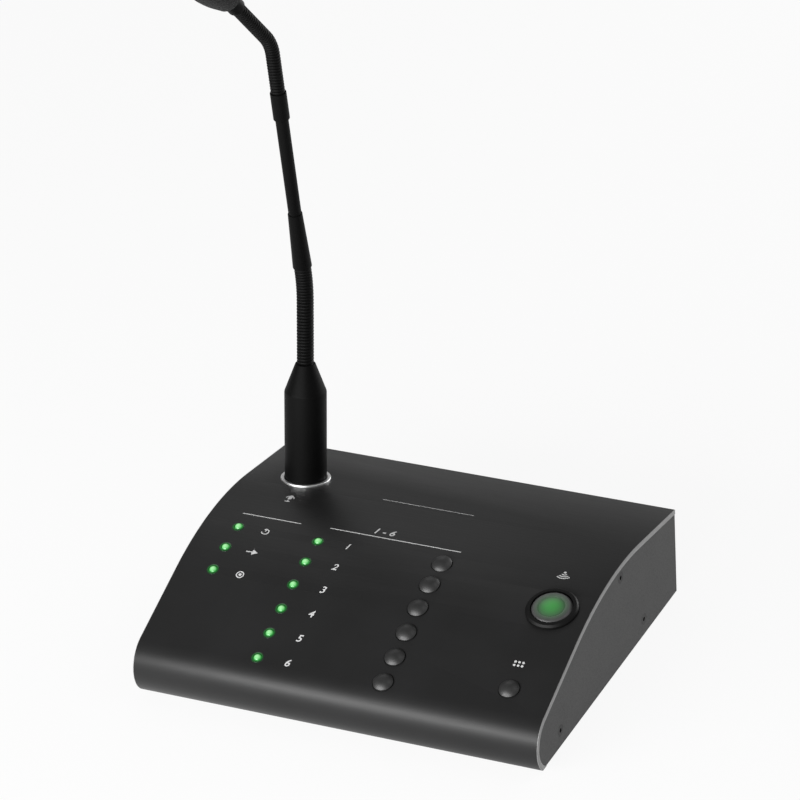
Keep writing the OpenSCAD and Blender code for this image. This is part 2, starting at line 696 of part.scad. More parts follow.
module link_socket() color("#26272a") translate([ports[0][0], back_y, link_deck]) difference() {
  translate([-socket_w / 2, -socket_d, 0]) cube([socket_w, socket_d, socket_h]);
  translate([-mouth_w / 2, -mouth_d, (socket_h - mouth_h) / 2]) cube([mouth_w, mouth_d + over, mouth_h]);
}
module power_inlet() color("#17181a") translate([ports[1][0], back_y, link_deck + inlet_h / 2]) {
  difference() {
    translate([-inlet_w / 2, -inlet_d, -inlet_h / 2]) cube([inlet_w, inlet_d, inlet_h]);
    rotate([90, 0, 0]) translate([0, 0, -over]) cylinder(d = inlet_bore, h = inlet_depth + over);
  }
  rotate([90, 0, 0]) translate([0, 0, inlet_recess]) cylinder(d = inlet_pin, h = inlet_depth);
}

module main_board() color("#1f5a34") difference() {
  w = inner_w - 2 * board_side;
  at_slope(0, 0) translate([-w / 2, board_a, -board_n - board_t]) cube([w, board_b - board_a, board_t]);
  for (p = posts) at_slope(p[0], p[1]) translate([0, 0, -2 * board_n]) cylinder(d = hole_d, h = 2 * board_n);
  at_call() translate([0, 0, -2 * board_n]) cylinder(d = barrel_d + 2 * board_hole_gap, h = 2 * board_n);
}
module board_posts() color("silver") difference() {
  intersection() {
    for (p = posts) at_slope(p[0], p[1]) translate([0, 0, -board_n]) cylinder(d = post_d, h = board_n);
    along_x(body_w) outline(shell_t);
  }
  for (p = posts) at_slope(p[0], p[1]) translate([0, 0, -board_n - over])
    cylinder(d = hole_d, h = over + board_screw_len);
}
module board_screws() color("silver") for (p = posts) at_slope(p[0], p[1])
  translate([0, 0, -slope_under]) cheese_screw(board_screw_len);

module push_switches() color("#202124") for (s = switch_spots) at_slope(s[0], s[1]) difference() {
  translate([-switch_w / 2, -switch_w / 2, -board_n]) cube([switch_w, switch_w, switch_h]);
  translate([0, 0, switch_top - stem_in - button_travel - button_gap])
    cylinder(d = stem_d + 2 * stem_gap, h = 2 * switch_h);
}

module lamp(u) translate([0, 0, -drop(u)]) {
  translate([0, 0, lamp_proud - lamp_d / 2]) sphere(d = lamp_d);
  translate([0, 0, lamp_proud - lamp_l]) cylinder(d = lamp_d, h = lamp_l - lamp_d / 2);
  for (s = [-1, 1]) translate([s * lamp_d / 4 - leg_w / 2, -leg_w / 2, drop(u) - board_n])
    cube([leg_w, leg_w, board_n - drop(u) + lamp_proud - lamp_l + over]);
}
module status_lamps() color("#4fe06a") for (i = [0:status_n - 1]) at_slope(-status_x, rows[i]) lamp(rows[i]);
module zone_lamps() color("#4fe06a") for (u = rows) at_slope(-zone_lamp_x, u) lamp(u);

// Push button with a dome, a retaining rim under the panel and a stem in its switch
module push_button(x, u) color("#141416") at_slope(x, u) {
  top = button_proud - drop(u);
  rim_top = -max(inner_drop(u - rim_r), inner_drop(u + rim_r)) - button_gap;
  ball_r = (pow(button_r, 2) + pow(dome_h, 2)) / (2 * dome_h);
  intersection() {
    translate([0, 0, rim_top - rim_t]) cylinder(d = button_d, h = top - rim_top + rim_t);
    translate([0, 0, top - ball_r]) sphere(ball_r, $fn = 128);
  }
  translate([0, 0, rim_top - rim_t]) cylinder(r = rim_r, h = rim_t);
  translate([0, 0, switch_top - stem_in]) cylinder(d = stem_d, h = rim_top - switch_top + stem_in);
}
module zone_button_1() push_button(button_x, rows[0]);
module zone_button_2() push_button(button_x, rows[1]);
module zone_button_3() push_button(button_x, rows[2]);
module zone_button_4() push_button(button_x, rows[3]);
module zone_button_5() push_button(button_x, rows[4]);
module zone_button_6() push_button(button_x, rows[5]);
module all_button() push_button(all_x, all_u);

module call_bezel() color("#0c0c0d") difference() {
  at_call() difference() {
    union() {
      translate([0, 0, -shell_t]) cylinder(d = bezel_d, h = bezel_h + shell_t);
      translate([0, 0, -barrel_l]) cylinder(d = barrel_d, h = barrel_l);
    }
    translate([0, 0, -barrel_l - over]) cylinder(d = cap_bore, h = barrel_l + bezel_h + 2 * over);
  }
  difference() {
    along_x(body_w) outline();
    at_call() translate([0, 0, -2 * barrel_l]) cylinder(d = barrel_d, h = 3 * barrel_l);
  }
}
module call_nut() color("#2a2a2c") at_call() {
  ring_nut_d = barrel_d + 2 * ring_nut_w;
  sag = (top_r - shell_t) - sqrt(pow(top_r - shell_t, 2) - pow(ring_nut_d / 2, 2));
  translate([0, 0, -shell_t - sag - thread_gap - ring_nut_t]) difference() {
    cylinder(d = ring_nut_d, h = ring_nut_t);
    translate([0, 0, -over]) cylinder(d = barrel_d + 2 * thread_gap, h = ring_nut_t + 2 * over);
  }
}
module call_block() color("#1d1e20") at_call() difference() {
  translate([0, 0, -barrel_l - block_l]) cylinder(d = barrel_d, h = block_l);
  translate([0, 0, -barrel_l - call_travel - stem_in - 2 * button_gap])
    cylinder(d = stem_d + 2 * stem_gap, h = block_l);
}
module call_cap() color("#77797c") at_call() difference() {
  union() {
    translate([0, 0, cap_proud - cap_t]) cylinder(d = cap_d, h = cap_t);
    translate([0, 0, -barrel_l - stem_in])
      cylinder(d = stem_d, h = barrel_l + stem_in + cap_proud - cap_t + over);
  }
  translate([0, 0, cap_proud - lens_t]) cylinder(d = lens_d + 2 * lens_gap, h = lens_t + over);
}
module call_lens() color("#4fa85a") at_call() {
  ball_r = (pow(lens_d / 2, 2) + pow(lens_h, 2)) / (2 * lens_h);
  intersection() {
    translate([0, 0, cap_proud - lens_t]) cylinder(d = lens_d, h = lens_t + lens_h);
    translate([0, 0, cap_proud + lens_h - ball_r]) sphere(ball_r, $fn = 128);
  }
}

module mic_socket() color("silver") at_mic() difference() {
  union() {
    cylinder(d = ring_d, h = ring_h);
    translate([0, 0, -socket_end]) cylinder(d = tube_d, h = socket_end);
  }
  translate([0, 0, -plug_in - plug_gap]) cylinder(d = tube_bore, h = plug_in + ring_h + over);
  translate([0, 0, -socket_end - over]) cylinder(d = lead_d + 2 * thread_gap, h = socket_floor + 2 * over);
}
module socket_nut() color("silver") at_mic() {
  nut_r = tube_d / 2 + ring_nut_w;
  arch_part = max(0, nut_r + mic_back - back_len);
  sag = top_r - shell_t - sqrt(pow(top_r - shell_t, 2) - pow(arch_part, 2));
  translate([0, 0, -shell_t - sag - thread_gap - ring_nut_t]) difference() {
    cylinder(r = nut_r, h = ring_nut_t);
    translate([0, 0, -over]) cylinder(d = tube_d + 2 * thread_gap, h = ring_nut_t + 2 * over);
  }
}
module socket_insert() color("#101011") at_mic() difference() {
  translate([0, 0, -plug_in - plug_gap]) cylinder(d = insert_d, h = pin_l + plug_gap);
  at_pins() translate([0, 0, -plug_in]) cylinder(d = pin_d + 2 * thread_gap, h = pin_l + over);
}
module at_pins() for (a = [-50, 50, 180]) rotate([0, 0, a]) translate([0, pin_r, 0]) children();

module mic_barrel() color("#0d0d0e") at_mic() difference() {
  union() {
    translate([0, 0, -plug_in]) cylinder(d = plug_d, h = plug_in + plug_h);
    translate([0, 0, plug_h]) cylinder(d1 = plug_d, d2 = shoulder_d, h = shoulder_h);
  }
  translate([0, 0, -plug_in - over]) cylinder(d = plug_bore, h = over + plug_in + pin_plate_z + pin_plate_t);
  translate([0, 0, -plug_in]) cylinder(d = flex_bore, h = plug_in + shoulder_z);
  translate([0, 0, shoulder_z - flex_in]) cylinder(d = low_bore, h = flex_in + over);
}
module pin_plate() color("#101011") at_mic() difference() {
  translate([0, 0, pin_plate_z]) cylinder(d = plug_bore - 2 * thread_gap, h = pin_plate_t);
  at_pins() translate([0, 0, pin_plate_z - over])
    cylinder(d = pin_d + 2 * thread_gap, h = pin_plate_t + 2 * over);
}
module contact_pins() color("goldenrod") at_mic() at_pins() {
  translate([0, 0, pin_plate_z - pin_l]) cylinder(d = pin_d, h = pin_l + pin_plate_t);
}

// Ribbed flexible tube from t0 to t1 along a neck that is straight for l and then bends
module ribbed_tube(t0, t1, l, r, a, d) {
  ribs = floor((t1 - t0) / rib_pitch);
  step = (t1 - t0) / ribs;
  outer = [for (i = [0:2 * ribs]) neck_ring(t0 + i * step / 2, l, r, a, i % 2 == 1 ? d : d - 2 * rib_h)];
  inner = [for (i = [0:bore_steps]) neck_ring(t0 + i * (t1 - t0) / bore_steps, l, r, a, flex_bore)];
  n = len(outer);
  m = n + bore_steps;
  sides = [for (i = [0:n - 2]) each [for (f = band(i, i + 1, ring_sides)) [f[2], f[1], f[0]]]];
  bore = [for (i = [n:m - 1]) each band(i, i + 1, ring_sides)];
  ends = concat(band(0, n, ring_sides), [for (f = band(n - 1, m, ring_sides)) [f[2], f[1], f[0]]]);
  polyhedron([for (q = concat(outer, inner)) each q], concat(sides, bore, ends));
}
module low_flex(t0, t1) color("#0b0b0c") at_mic() translate([0, 0, shoulder_z])
  ribbed_tube(t0, t1, low_flex_l, low_bend_r, low_bend, low_flex_d);
module top_flex(t0, t1) color("#0b0b0c") at_turn() translate([0, 0, top_flex_z])
  ribbed_tube(t0, t1, top_flex_l, top_bend_r, top_bend, top_flex_d);
module lower_flex_1() low_flex(-flex_in, low_flex_l - low_flex_end);
module lower_flex_2() low_flex(low_flex_l - low_flex_end, low_flex_l + low_arc + low_flex_end);
module upper_flex_1() top_flex(0, top_flex_l);
module upper_flex_2() top_flex(top_flex_l, top_flex_l + top_arc + top_flex_end);

module neck_sleeve() color("#0d0d0e") at_stem() translate([0, 0, stem_start]) difference() {
  cylinder(d1 = sleeve_d, d2 = sleeve_top_d, h = sleeve_l);
  translate([0, 0, -over]) cylinder(d = low_bore, h = flex_in + over);
  cylinder(d = stem_seat, h = sleeve_l + over);
}
module stem_tube() color("#0d0d0e") at_stem() translate([0, 0, low_flex_end]) difference() {
  cylinder(d = stem_tube_d, h = stem_end + flex_in - low_flex_end);
  translate([0, 0, -over]) cylinder(d = stem_bore, h = stem_end + flex_in - low_flex_end + 2 * over);
}
module upper_fitting() color("#0d0d0e") at_stem() translate([0, 0, stem_end]) difference() {
  cylinder(d = fitting_d, h = fitting_l);
  translate([0, 0, -over]) cylinder(d = stem_seat, h = flex_in + over);
  cylinder(d = stem_bore, h = fitting_l);
  translate([0, 0, fitting_l - flex_in]) cylinder(d = top_bore, h = flex_in + over);
}
module head_collar() color("#0d0d0e") at_head() translate([0, 0, top_flex_end - flex_in]) difference() {
  cylinder(d = collar_d, h = collar_l);
  translate([0, 0, -over]) cylinder(d = top_bore, h = flex_in + over);
  cylinder(d = flex_bore, h = collar_l + over);
}
module capsule_housing() color("#0d0d0e") at_head() translate([0, 0, head_z]) difference() {
  cylinder(d = housing_d, h = housing_l);
  translate([0, 0, housing_t]) cylinder(d = housing_bore, h = housing_l);
  translate([0, 0, -over]) cylinder(d = flex_bore, h = housing_t + 2 * over);
  for (i = [0:slots - 1]) rotate([0, 0, i * 360 / slots])
    translate([-slot_w / 2, 0, housing_l - capsule_t - slot_gap - slot_l]) cube([slot_w, housing_d, slot_l]);
}
module capsule() color("#8d9095") at_head() translate([0, 0, head_z + housing_l - capsule_t]) difference() {
  cylinder(d = housing_bore - 2 * thread_gap, h = capsule_t);
  translate([0, 0, capsule_t - port_depth]) cylinder(d = port_d, h = port_depth + over);
}
// Foam windscreen: a teardrop on the housing, with a bore that fits over it
module windscreen() color("#0a0a0b") at_head() translate([0, 0, head_z + foam_start]) {
  bore_r = housing_d / 2 + thread_gap;
  bore_l = housing_l - foam_start + thread_gap;
  foam_r = foam_d / 2;
  mouth_r = bore_r + foam_lip;
  drop_line = [for (a = [0:9:180]) a < 90 ? [mouth_r + (foam_r - mouth_r) * sin(a), foam_l * a / 180]
    : [foam_r * sin(a), foam_l * (1 - cos(a)) / 2]];
  rotate_extrude() difference() {
    polygon(concat([[0, 0]], drop_line));
    translate([-over, -over]) square([bore_r + over, bore_l + over]);
  }
}

// Strip or lead of one cross-section along points in Y and Z, at X
module strip(points, x, section) {
  n = len(section);
  last = len(points) - 1;
  rings = [for (i = [0:last]) strip_ring(points, i, x, section)];
  sides = [for (i = [0:last - 1]) each band(i, i + 1, n)];
  ends = [for (k = [1:n - 2]) each [[0, k, k + 1], [last * n, last * n + k + 1, last * n + k]]];
  polyhedron([for (q = rings) each q], concat(sides, ends));
}
module flat_cable() color("#9a9ca0") strip(
  hung(board_point(ribbon_u, slope_under), -slope_out, ribbon_end, [0, 1], ribbon_sag), ribbon_x,
  [for (s = [[-1, -1], [1, -1], [1, 1], [-1, 1]]) [s[0] * ribbon_w / 2, s[1] * ribbon_t / 2]]);
module mic_lead() color("#3a3a3c") strip(
  hung(mic_point - (plug_in + plug_gap) * back_out, -back_out, board_point(mic_lead_u, slope_under),
    -slope_out, mic_sag), -mic_x, round_lead);
module call_lead() color("#3a3a3c") strip(
  hung(call_point - (barrel_l + block_l) * call_out, -call_out, board_point(call_lead_u, slope_under),
    -slope_out, call_sag), call_x, round_lead);

top_cover();
left_end_plate();
right_end_plate();
end_screws();
clinch_nuts();
base_plate();
rubber_feet();
foot_screws();
rear_panel();
rear_screws();
link_board();
link_posts();
link_screws();
link_socket();
power_inlet();
flat_cable();
main_board();
board_posts();
board_screws();
push_switches();
status_lamps();
zone_lamps();
zone_button_1();
zone_button_2();
zone_button_3();
zone_button_4();
zone_button_5();
zone_button_6();
all_button();
call_bezel();
call_nut();
call_block();
call_cap();
call_lens();
mic_socket();
socket_nut();
socket_insert();
mic_barrel();
pin_plate();
contact_pins();
lower_flex_1();
lower_flex_2();
neck_sleeve();
stem_tube();
upper_fitting();
upper_flex_1();
upper_flex_2();
head_collar();
capsule_housing();
capsule();
windscreen();
mic_lead();
call_lead();
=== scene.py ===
import bmesh
import bpy
import math
from mathutils import Matrix, Vector


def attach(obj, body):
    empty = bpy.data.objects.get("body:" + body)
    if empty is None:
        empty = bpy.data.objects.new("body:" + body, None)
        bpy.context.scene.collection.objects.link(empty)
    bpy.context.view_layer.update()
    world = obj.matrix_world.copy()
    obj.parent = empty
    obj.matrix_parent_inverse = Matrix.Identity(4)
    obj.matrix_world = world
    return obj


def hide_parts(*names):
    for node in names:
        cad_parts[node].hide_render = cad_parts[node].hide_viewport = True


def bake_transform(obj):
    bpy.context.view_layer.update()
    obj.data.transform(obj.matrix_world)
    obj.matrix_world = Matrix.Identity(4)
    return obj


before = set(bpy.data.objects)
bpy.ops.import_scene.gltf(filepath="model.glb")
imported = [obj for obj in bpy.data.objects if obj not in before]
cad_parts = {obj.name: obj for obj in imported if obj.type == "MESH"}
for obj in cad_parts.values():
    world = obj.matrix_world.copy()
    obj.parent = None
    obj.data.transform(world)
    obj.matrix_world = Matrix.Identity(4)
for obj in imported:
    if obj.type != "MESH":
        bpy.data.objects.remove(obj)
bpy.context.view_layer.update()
mm = 0.001


# camera: the picture's frame is 800 x 800
view = dict(azimuth=26.192, elevation=28.35, roll=-3.5, distance=2175.08, aim=(-102.31, 212.91, 3.08),
            lens=191.04, sensor=36, clipEnd=90)


def setCamera():
    az, el, roll = (math.radians(view[key]) for key in ("azimuth", "elevation", "roll"))
    back = Vector((math.sin(az) * math.cos(el), -math.cos(az) * math.cos(el), math.sin(el)))
    level = (-back).cross(Vector((0, 0, 1))).normalized()
    upright = level.cross(-back)
    right = math.cos(roll) * level + math.sin(roll) * upright
    up = math.cos(roll) * upright - math.sin(roll) * level
    place = (Vector(view["aim"]) + view["distance"] * back) * mm
    bpy.ops.object.camera_add()
    camera = bpy.context.object
    camera.name = "photoCamera"
    camera.data.sensor_width = view["sensor"]
    camera.data.lens = view["lens"]
    camera.data.clip_end = view["clipEnd"]
    turn = Matrix((right, up, back)).transposed().to_4x4()
    camera.matrix_world = Matrix.Translation(place) @ turn
    bpy.context.scene.camera = camera


setCamera()
print("camera set")


# shader expressions: a wrapped socket takes part in sums, any other node comes from Finish.add
class Sock:
    def __init__(self, tree, out):
        self.tree = tree
        self.out = out

    def calc(self, how, a, b=None):
        node = self.tree.nodes.new("ShaderNodeMath")
        node.operation = how
        for i, value in enumerate((a, b)):
            if isinstance(value, Sock):
                self.tree.links.new(value.out, node.inputs[i])
            elif value is not None:
                node.inputs[i].default_value = value
        return Sock(self.tree, node.outputs[0])

    def __add__(self, other):
        return self.calc("ADD", self, other)

    def __radd__(self, other):
        return self.calc("ADD", other, self)

    def __mul__(self, other):
        return self.calc("MULTIPLY", self, other)

    def __rmul__(self, other):
        return self.calc("MULTIPLY", other, self)


class Finish:
    def __init__(self, name, plain):
        self.material = bpy.data.materials.new(name)
        self.material.use_nodes = True
        self.tree = self.material.node_tree
        self.shader = self.tree.nodes["Principled BSDF"]
        for label, value in plain.items():
            self.shader.inputs[label].default_value = value
        self.place = self.add("ShaderNodeTexCoord", {}, {}, "Object")

    def add(self, kind, settings, sockets, out=0):
        node = self.tree.nodes.new(kind)
        for label, value in settings.items():
            setattr(node, label, value)
        for label, value in sockets.items():
            if isinstance(value, Sock):
                self.tree.links.new(value.out, node.inputs[label])
            else:
                node.inputs[label].default_value = value
        return Sock(self.tree, node.outputs[out])

    def feed(self, label, sock):
        self.tree.links.new(sock.out, self.shader.inputs[label])

    def stretched(self, scale):
        return self.add("ShaderNodeMapping", {}, {"Vector": self.place, "Scale": scale})

    def noise(self, size, detail=3, stretch=(1, 1, 1)):
        # size is one blotch of the pattern, in millimetres
        sockets = {"Vector": self.stretched(stretch), "Scale": 1 / (size * mm), "Detail": detail}
        return self.add("ShaderNodeTexNoise", {}, sockets, "Fac")

    def cells(self, size):
        sockets = {"Vector": self.place, "Scale": 1 / (size * mm)}
        return self.add("ShaderNodeTexVoronoi", {}, sockets, "Distance")

    def span(self, sock, low, high):
        # 0 at low, 1 at high
        return self.add("ShaderNodeMapRange", {}, {"Value": sock, "From Min": low, "From Max": high})

    def blend(self, factor, first, last):
        # the Mix node's colour sockets
        sockets = {0: factor, 6: first, 7: last}
        return self.add("ShaderNodeMix", {"data_type": "RGBA"}, sockets, 2)

    def bump(self, height, depth, strength):
        sockets = {"Height": height, "Distance": depth * mm, "Strength": strength}
        self.feed("Normal", self.add("ShaderNodeBump", {}, sockets))

    def mottle(self, pattern, low, high, rough, spread):
        # colour and roughness follow one pattern
        self.feed("Base Color", self.blend(pattern, low, high))
        self.feed("Roughness", rough + spread * pattern)

    def own(self, label):
        return self.add("ShaderNodeAttribute", {"attribute_name": label}, {}, "Fac")


def grey(value, tint=(1, 1, 1)):
    return tuple(value * part for part in tint) + (1,)


# finishes
def anodisedBlack():
    f = Finish("anodisedBlack", {"Specular IOR Level": 0.32})
    grain = f.noise(0.9, 4, (0.04, 1, 1))
    cloud = f.noise(38)
    f.feed("Base Color", f.blend(f.span(cloud, 0.3, 0.7), grey(0.009), grey(0.012, (1, 1, 1.02))))
    f.feed("Roughness", 0.36 + 0.08 * grain + 0.05 * cloud)
    f.bump(grain, 0.012, 0.35)
    return f.material


def cutEdge():
    f = Finish("cutEdge", {"Metallic": 0.35, "Specular IOR Level": 0.4})
    saw = f.noise(0.5, 3, (1, 0.25, 1))
    f.mottle(saw, grey(0.22), grey(0.3), 0.38, 0.2)
    f.bump(saw, 0.02, 0.3)
    return f.material


def powderGrey():
    f = Finish("powderGrey", {"Specular IOR Level": 0.3})
    speck = f.cells(0.55)
    cloud = f.noise(16)
    f.feed("Base Color", f.blend(cloud, grey(0.05), grey(0.064)))
    f.feed("Roughness", 0.52 + 0.2 * speck)
    f.bump(speck, 0.035, 0.5)
    return f.material


def blackOxide():
    f = Finish("blackOxide", {"Metallic": 0.4, "Specular IOR Level": 0.3})
    rub = f.noise(0.6, 4)
    f.mottle(rub, grey(0.006), grey(0.018), 0.4, 0.2)
    return f.material


def zincPlate():
    f = Finish("zincPlate", {"Metallic": 1.0})
    brush = f.noise(0.7, 4, (0.05, 1, 1))
    bloom = f.noise(7, 4)
    f.feed("Base Color", f.blend(bloom, grey(0.5), grey(0.62, (1, 1, 0.97))))
    f.feed("Roughness", 0.3 + 0.2 * brush + 0.1 * bloom)
    f.bump(brush, 0.012, 0.25)
    return f.material


def footRubber():
    f = Finish("footRubber", {"Specular IOR Level": 0.35})
    dust = f.noise(2.2, 4)
    f.mottle(dust, grey(0.012), grey(0.022), 0.75, 0.15)
    f.bump(f.cells(0.4), 0.03, 0.4)
    return f.material


def solderMask():
    f = Finish("solderMask", {"Specular IOR Level": 0.5, "Coat Weight": 0.2})
    copper = f.add("ShaderNodeTexBrick", {}, {"Vector": f.place, "Scale": 240.0, "Mortar Size": 0.03}, "Fac")
    f.feed("Base Color", f.blend(copper, (0.012, 0.09, 0.035, 1), (0.03, 0.16, 0.06, 1)))
    f.feed("Roughness", 0.35 + 0.1 * f.noise(3))
    return f.material


def mouldedBlack():
    f = Finish("mouldedBlack", {"Specular IOR Level": 0.4})
    spark = f.noise(0.25)
    f.mottle(spark, grey(0.012), grey(0.02), 0.45, 0.2)
    f.bump(spark, 0.012, 0.4)
    return f.material


def cableJacket():
    f = Finish("cableJacket", {"Specular IOR Level": 0.4})
    scuff = f.noise(2.5)
    f.mottle(scuff, grey(0.09), grey(0.13), 0.5, 0.15)
    return f.material


def buttonBlack():
    f = Finish("buttonBlack", {"Specular IOR Level": 0.6})
    smear = f.noise(2.4)
    f.mottle(smear, grey(0.010), grey(0.017), 0.38, 0.14)
    return f.material


def mattBlack():
    f = Finish("mattBlack", {"Specular IOR Level": 0.16})
    spark = f.noise(0.3)
    f.mottle(spark, grey(0.0025), grey(0.005), 0.42, 0.14)
    f.bump(spark, 0.008, 0.3)
    return f.material


def satinBlack():
    f = Finish("satinBlack", {"Specular IOR Level": 0.07})
    smear = f.noise(5)
    f.mottle(smear, grey(0.0012), grey(0.0022), 0.46, 0.14)
    f.bump(f.noise(0.35), 0.006, 0.3)
    return f.material


def windingBlack():
    f = Finish("windingBlack", {"Specular IOR Level": 0.09})
    rub = f.noise(1.6, 4)
    f.mottle(rub, grey(0.0012), grey(0.0024), 0.42, 0.2)
    return f.material


def openFoam():
    f = Finish("openFoam", {"Specular IOR Level": 0.1, "Sheen Weight": 0.05, "Sheen Roughness": 0.6})
    pores = f.cells(0.75)
    fine = f.cells(0.32)
    # the colour darkens down into the pore hollows, on the same pattern as the bump: painted shade in the
    # pores
    depth = f.span(pores, 0.0, 0.75) * (0.6 + 0.4 * fine)
    f.mottle(depth, grey(0.0035), grey(0.014), 0.9, 0.1)
    f.bump(depth, 0.28, 0.8)
    return f.material


def litGreen():
    f = Finish("litGreen", {"Roughness": 0.22, "Specular IOR Level": 0.5, "Emission Strength": 1.0})
    glow = f.own("glow")
    f.feed("Base Color", f.blend(glow, (0.004, 0.02, 0.006, 1), (0.05, 0.3, 0.08, 1)))
    # below half glow: the dim green of the lens rim, and the painted glow of the lamp's light on the collar
    halo = f.blend(f.span(glow, 0.0, 0.5), (0.0, 0.006, 0.001, 1), (0.02, 0.24, 0.03, 1))
    f.feed("Emission Color", f.blend(f.span(glow, 0.5, 1.0), halo, (0.35, 0.6, 0.32, 1)))
    return f.material


def litLens():
    f = Finish("litLens", {"Roughness": 0.3, "Specular IOR Level": 0.4, "Emission Strength": 1.0})
    glow = f.own("glow")
    frost = f.noise(0.8)
    f.feed("Base Color", f.blend(glow, (0.03, 0.055, 0.033, 1), (0.022, 0.085, 0.03, 1)))
    shine = f.blend(glow, (0.014, 0.034, 0.015, 1), (0.028, 0.19, 0.03, 1))
    f.feed("Emission Color", f.blend(0.25 * frost, shine, (0.024, 0.1, 0.027, 1)))
    f.bump(frost, 0.02, 0.3)
    return f.material


def smokedCap():
    f = Finish("smokedCap", {"Roughness": 0.28, "Specular IOR Level": 0.5, "Emission Strength": 1.0})
    glow = f.own("glow")
    cloud = f.noise(3.5)
    f.feed("Base Color", f.blend(cloud, grey(0.042), grey(0.062)))
    # painted glow: the lens's green light spilling into the cap, following the glow mark
    f.feed("Emission Color", f.blend(glow, (0.0, 0.0, 0.0, 1), (0.012, 0.06, 0.016, 1)))
    f.bump(f.noise(0.7, 2), 0.015, 0.3)
    return f.material


def brightRing():
    f = Finish("brightRing", {"Metallic": 1.0})
    turn = f.noise(0.8, 4, (1, 1, 0.2))
    f.mottle(turn, grey(0.8), grey(0.92), 0.3, 0.14)
    return f.material


def goldPlate():
    f = Finish("goldPlate", {"Metallic": 1.0})
    worn = f.noise(0.9)
    f.mottle(worn, (0.72, 0.46, 0.14, 1), (0.86, 0.62, 0.26, 1), 0.2, 0.15)
    return f.material


def turnedMetal():
    f = Finish("turnedMetal", {"Metallic": 1.0})
    ring = f.noise(0.5)
    f.mottle(ring, grey(0.42), grey(0.58), 0.25, 0.15)
    return f.material


def printWhite():
    f = Finish("printWhite", {"Specular IOR Level": 0.3})
    ink = f.noise(0.6, 4)
    f.mottle(ink, grey(0.5), grey(0.66), 0.5, 0.15)
    return f.material


coverFinish, edgeFinish, plateFinish = anodisedBlack(), cutEdge(), powderGrey()
screwFinish, zincFinish, rubberFinish = blackOxide(), zincPlate(), footRubber()
boardFinish, mouldFinish, cableFinish = solderMask(), mouldedBlack(), cableJacket()
buttonFinish, micFinish, neckFinish, foamFinish = buttonBlack(), satinBlack(), windingBlack(), openFoam()
rimFinish = mattBlack()
lampFinish, lensFinish, capFinish = litGreen(), litLens(), smokedCap()
ringFinish, goldFinish, capsuleFinish, printFinish = brightRing(), goldPlate(), turnedMetal(), printWhite()
print("finishes made")


# the console's section, as in the solids: u runs along the panel from the foot of the slope
console = dict(width=200, foot=3.0, noseR=15, noseZ=11.6, slope=22, slopeLen=41, topR=149, topTurn=30,
               backLen=44.5, shell=2.5)


def polar(radius, tilt):
    # in Y and Z; tilt is how far the normal leans to the front, in degrees
    return Vector((-radius * math.sin(math.radians(tilt)), radius * math.cos(math.radians(tilt))))


def alongPanel(tilt):
    return Vector((math.cos(math.radians(tilt)), math.sin(math.radians(tilt))))


archLen = console["topR"] * math.radians(console["topTurn"])
fall = console["topTurn"] - console["slope"]
# from the nose's middle to the head of the slope, and from there over the arch
slopeRun = polar(console["noseR"], console["slope"]) + console["slopeLen"] * alongPanel(console["slope"])
archRun = polar(console["topR"], -fall) - polar(console["topR"], console["slope"])
depth = console["noseR"] + (slopeRun + archRun + console["backLen"] * alongPanel(-fall))[0]
noseMid = Vector((console["noseR"] - depth / 2, console["foot"] + console["noseZ"]))
slopeFoot = noseMid + polar(console["noseR"], console["slope"])
slopeHead = noseMid + slopeRun
archMid = slopeHead - polar(console["topR"], console["slope"])
archEnd = slopeHead + archRun


def panelSpot(u, lift=0.0):
    # point in Y and Z, and the tilt there, in millimetres and degrees
    past = u - console["slopeLen"]
    if u < 0:
        tilt = console["slope"] - math.degrees(u / console["noseR"])
        point = noseMid + polar(console["noseR"] + lift, tilt)
    elif past <= 0:
        tilt = console["slope"]
        point = slopeFoot + u * alongPanel(tilt) + polar(lift, tilt)
    elif past <= archLen:
        tilt = console["slope"] - math.degrees(past / console["topR"])
        point = archMid + polar(console["topR"] + lift, tilt)
    else:
        tilt = -fall
        point = archEnd + (past - archLen) * alongPanel(tilt) + polar(lift, tilt)
    return point, tilt


def spotFrame(x, point, tilt):
    # Z out of the surface, in metres
    place = Matrix.Translation((x * mm, point[0] * mm, point[1] * mm))
    return place @ Matrix.Rotation(math.radians(tilt), 4, "X")


def panelFrame(x, u):
    return spotFrame(x, *panelSpot(u))


def slopeFrame(x, u):
    return spotFrame(x, slopeFoot + u * alongPanel(console["slope"]), console["slope"])


# hand tools: vertices closer than weld become one, what is near counts as in place, both in metres
weld, near = 0.0000015, 0.00001
# edges that turn by more degrees than this stay sharp
crease = dict(plain=32, cover=24, turned=40, mic=30, soft=60, ink=20)
asDrawn = Matrix.Identity(4)


def fresh():
    if bpy.context.object and bpy.context.object.mode != "OBJECT":
        bpy.ops.object.mode_set(mode="OBJECT")
    bpy.ops.object.select_all(action="DESELECT")


def pick(*objs):
    fresh()
    for obj in objs:
        obj.select_set(True)
    bpy.context.view_layer.objects.active = objs[0]


def openUp(obj):
    pick(obj)
    bpy.ops.object.mode_set(mode="EDIT")
    bpy.ops.mesh.select_all(action="SELECT")


def applyPlace():
    bpy.ops.object.transform_apply(location=True, rotation=True, scale=True)


def drawLine(name, points):
    # one vertex, extruded from point to point; points in millimetres
    fresh()
    bpy.ops.mesh.primitive_plane_add(size=mm)
    obj = bpy.context.object
    obj.name = name
    openUp(obj)
    bpy.ops.mesh.merge(type="CENTER")
    bpy.ops.transform.translate(value=Vector(points[0]) * mm)
    for a, b in zip(points, points[1:]):
        bpy.ops.mesh.extrude_region_move(TRANSFORM_OT_translate={"value": (Vector(b) - Vector(a)) * mm})
    bpy.ops.mesh.select_all(action="SELECT")
    return obj


def closeUp():
    bpy.ops.mesh.select_all(action="SELECT")
    bpy.ops.mesh.remove_doubles(threshold=weld)
    bpy.ops.mesh.normals_make_consistent(inside=False)
    bpy.ops.object.mode_set(mode="OBJECT")


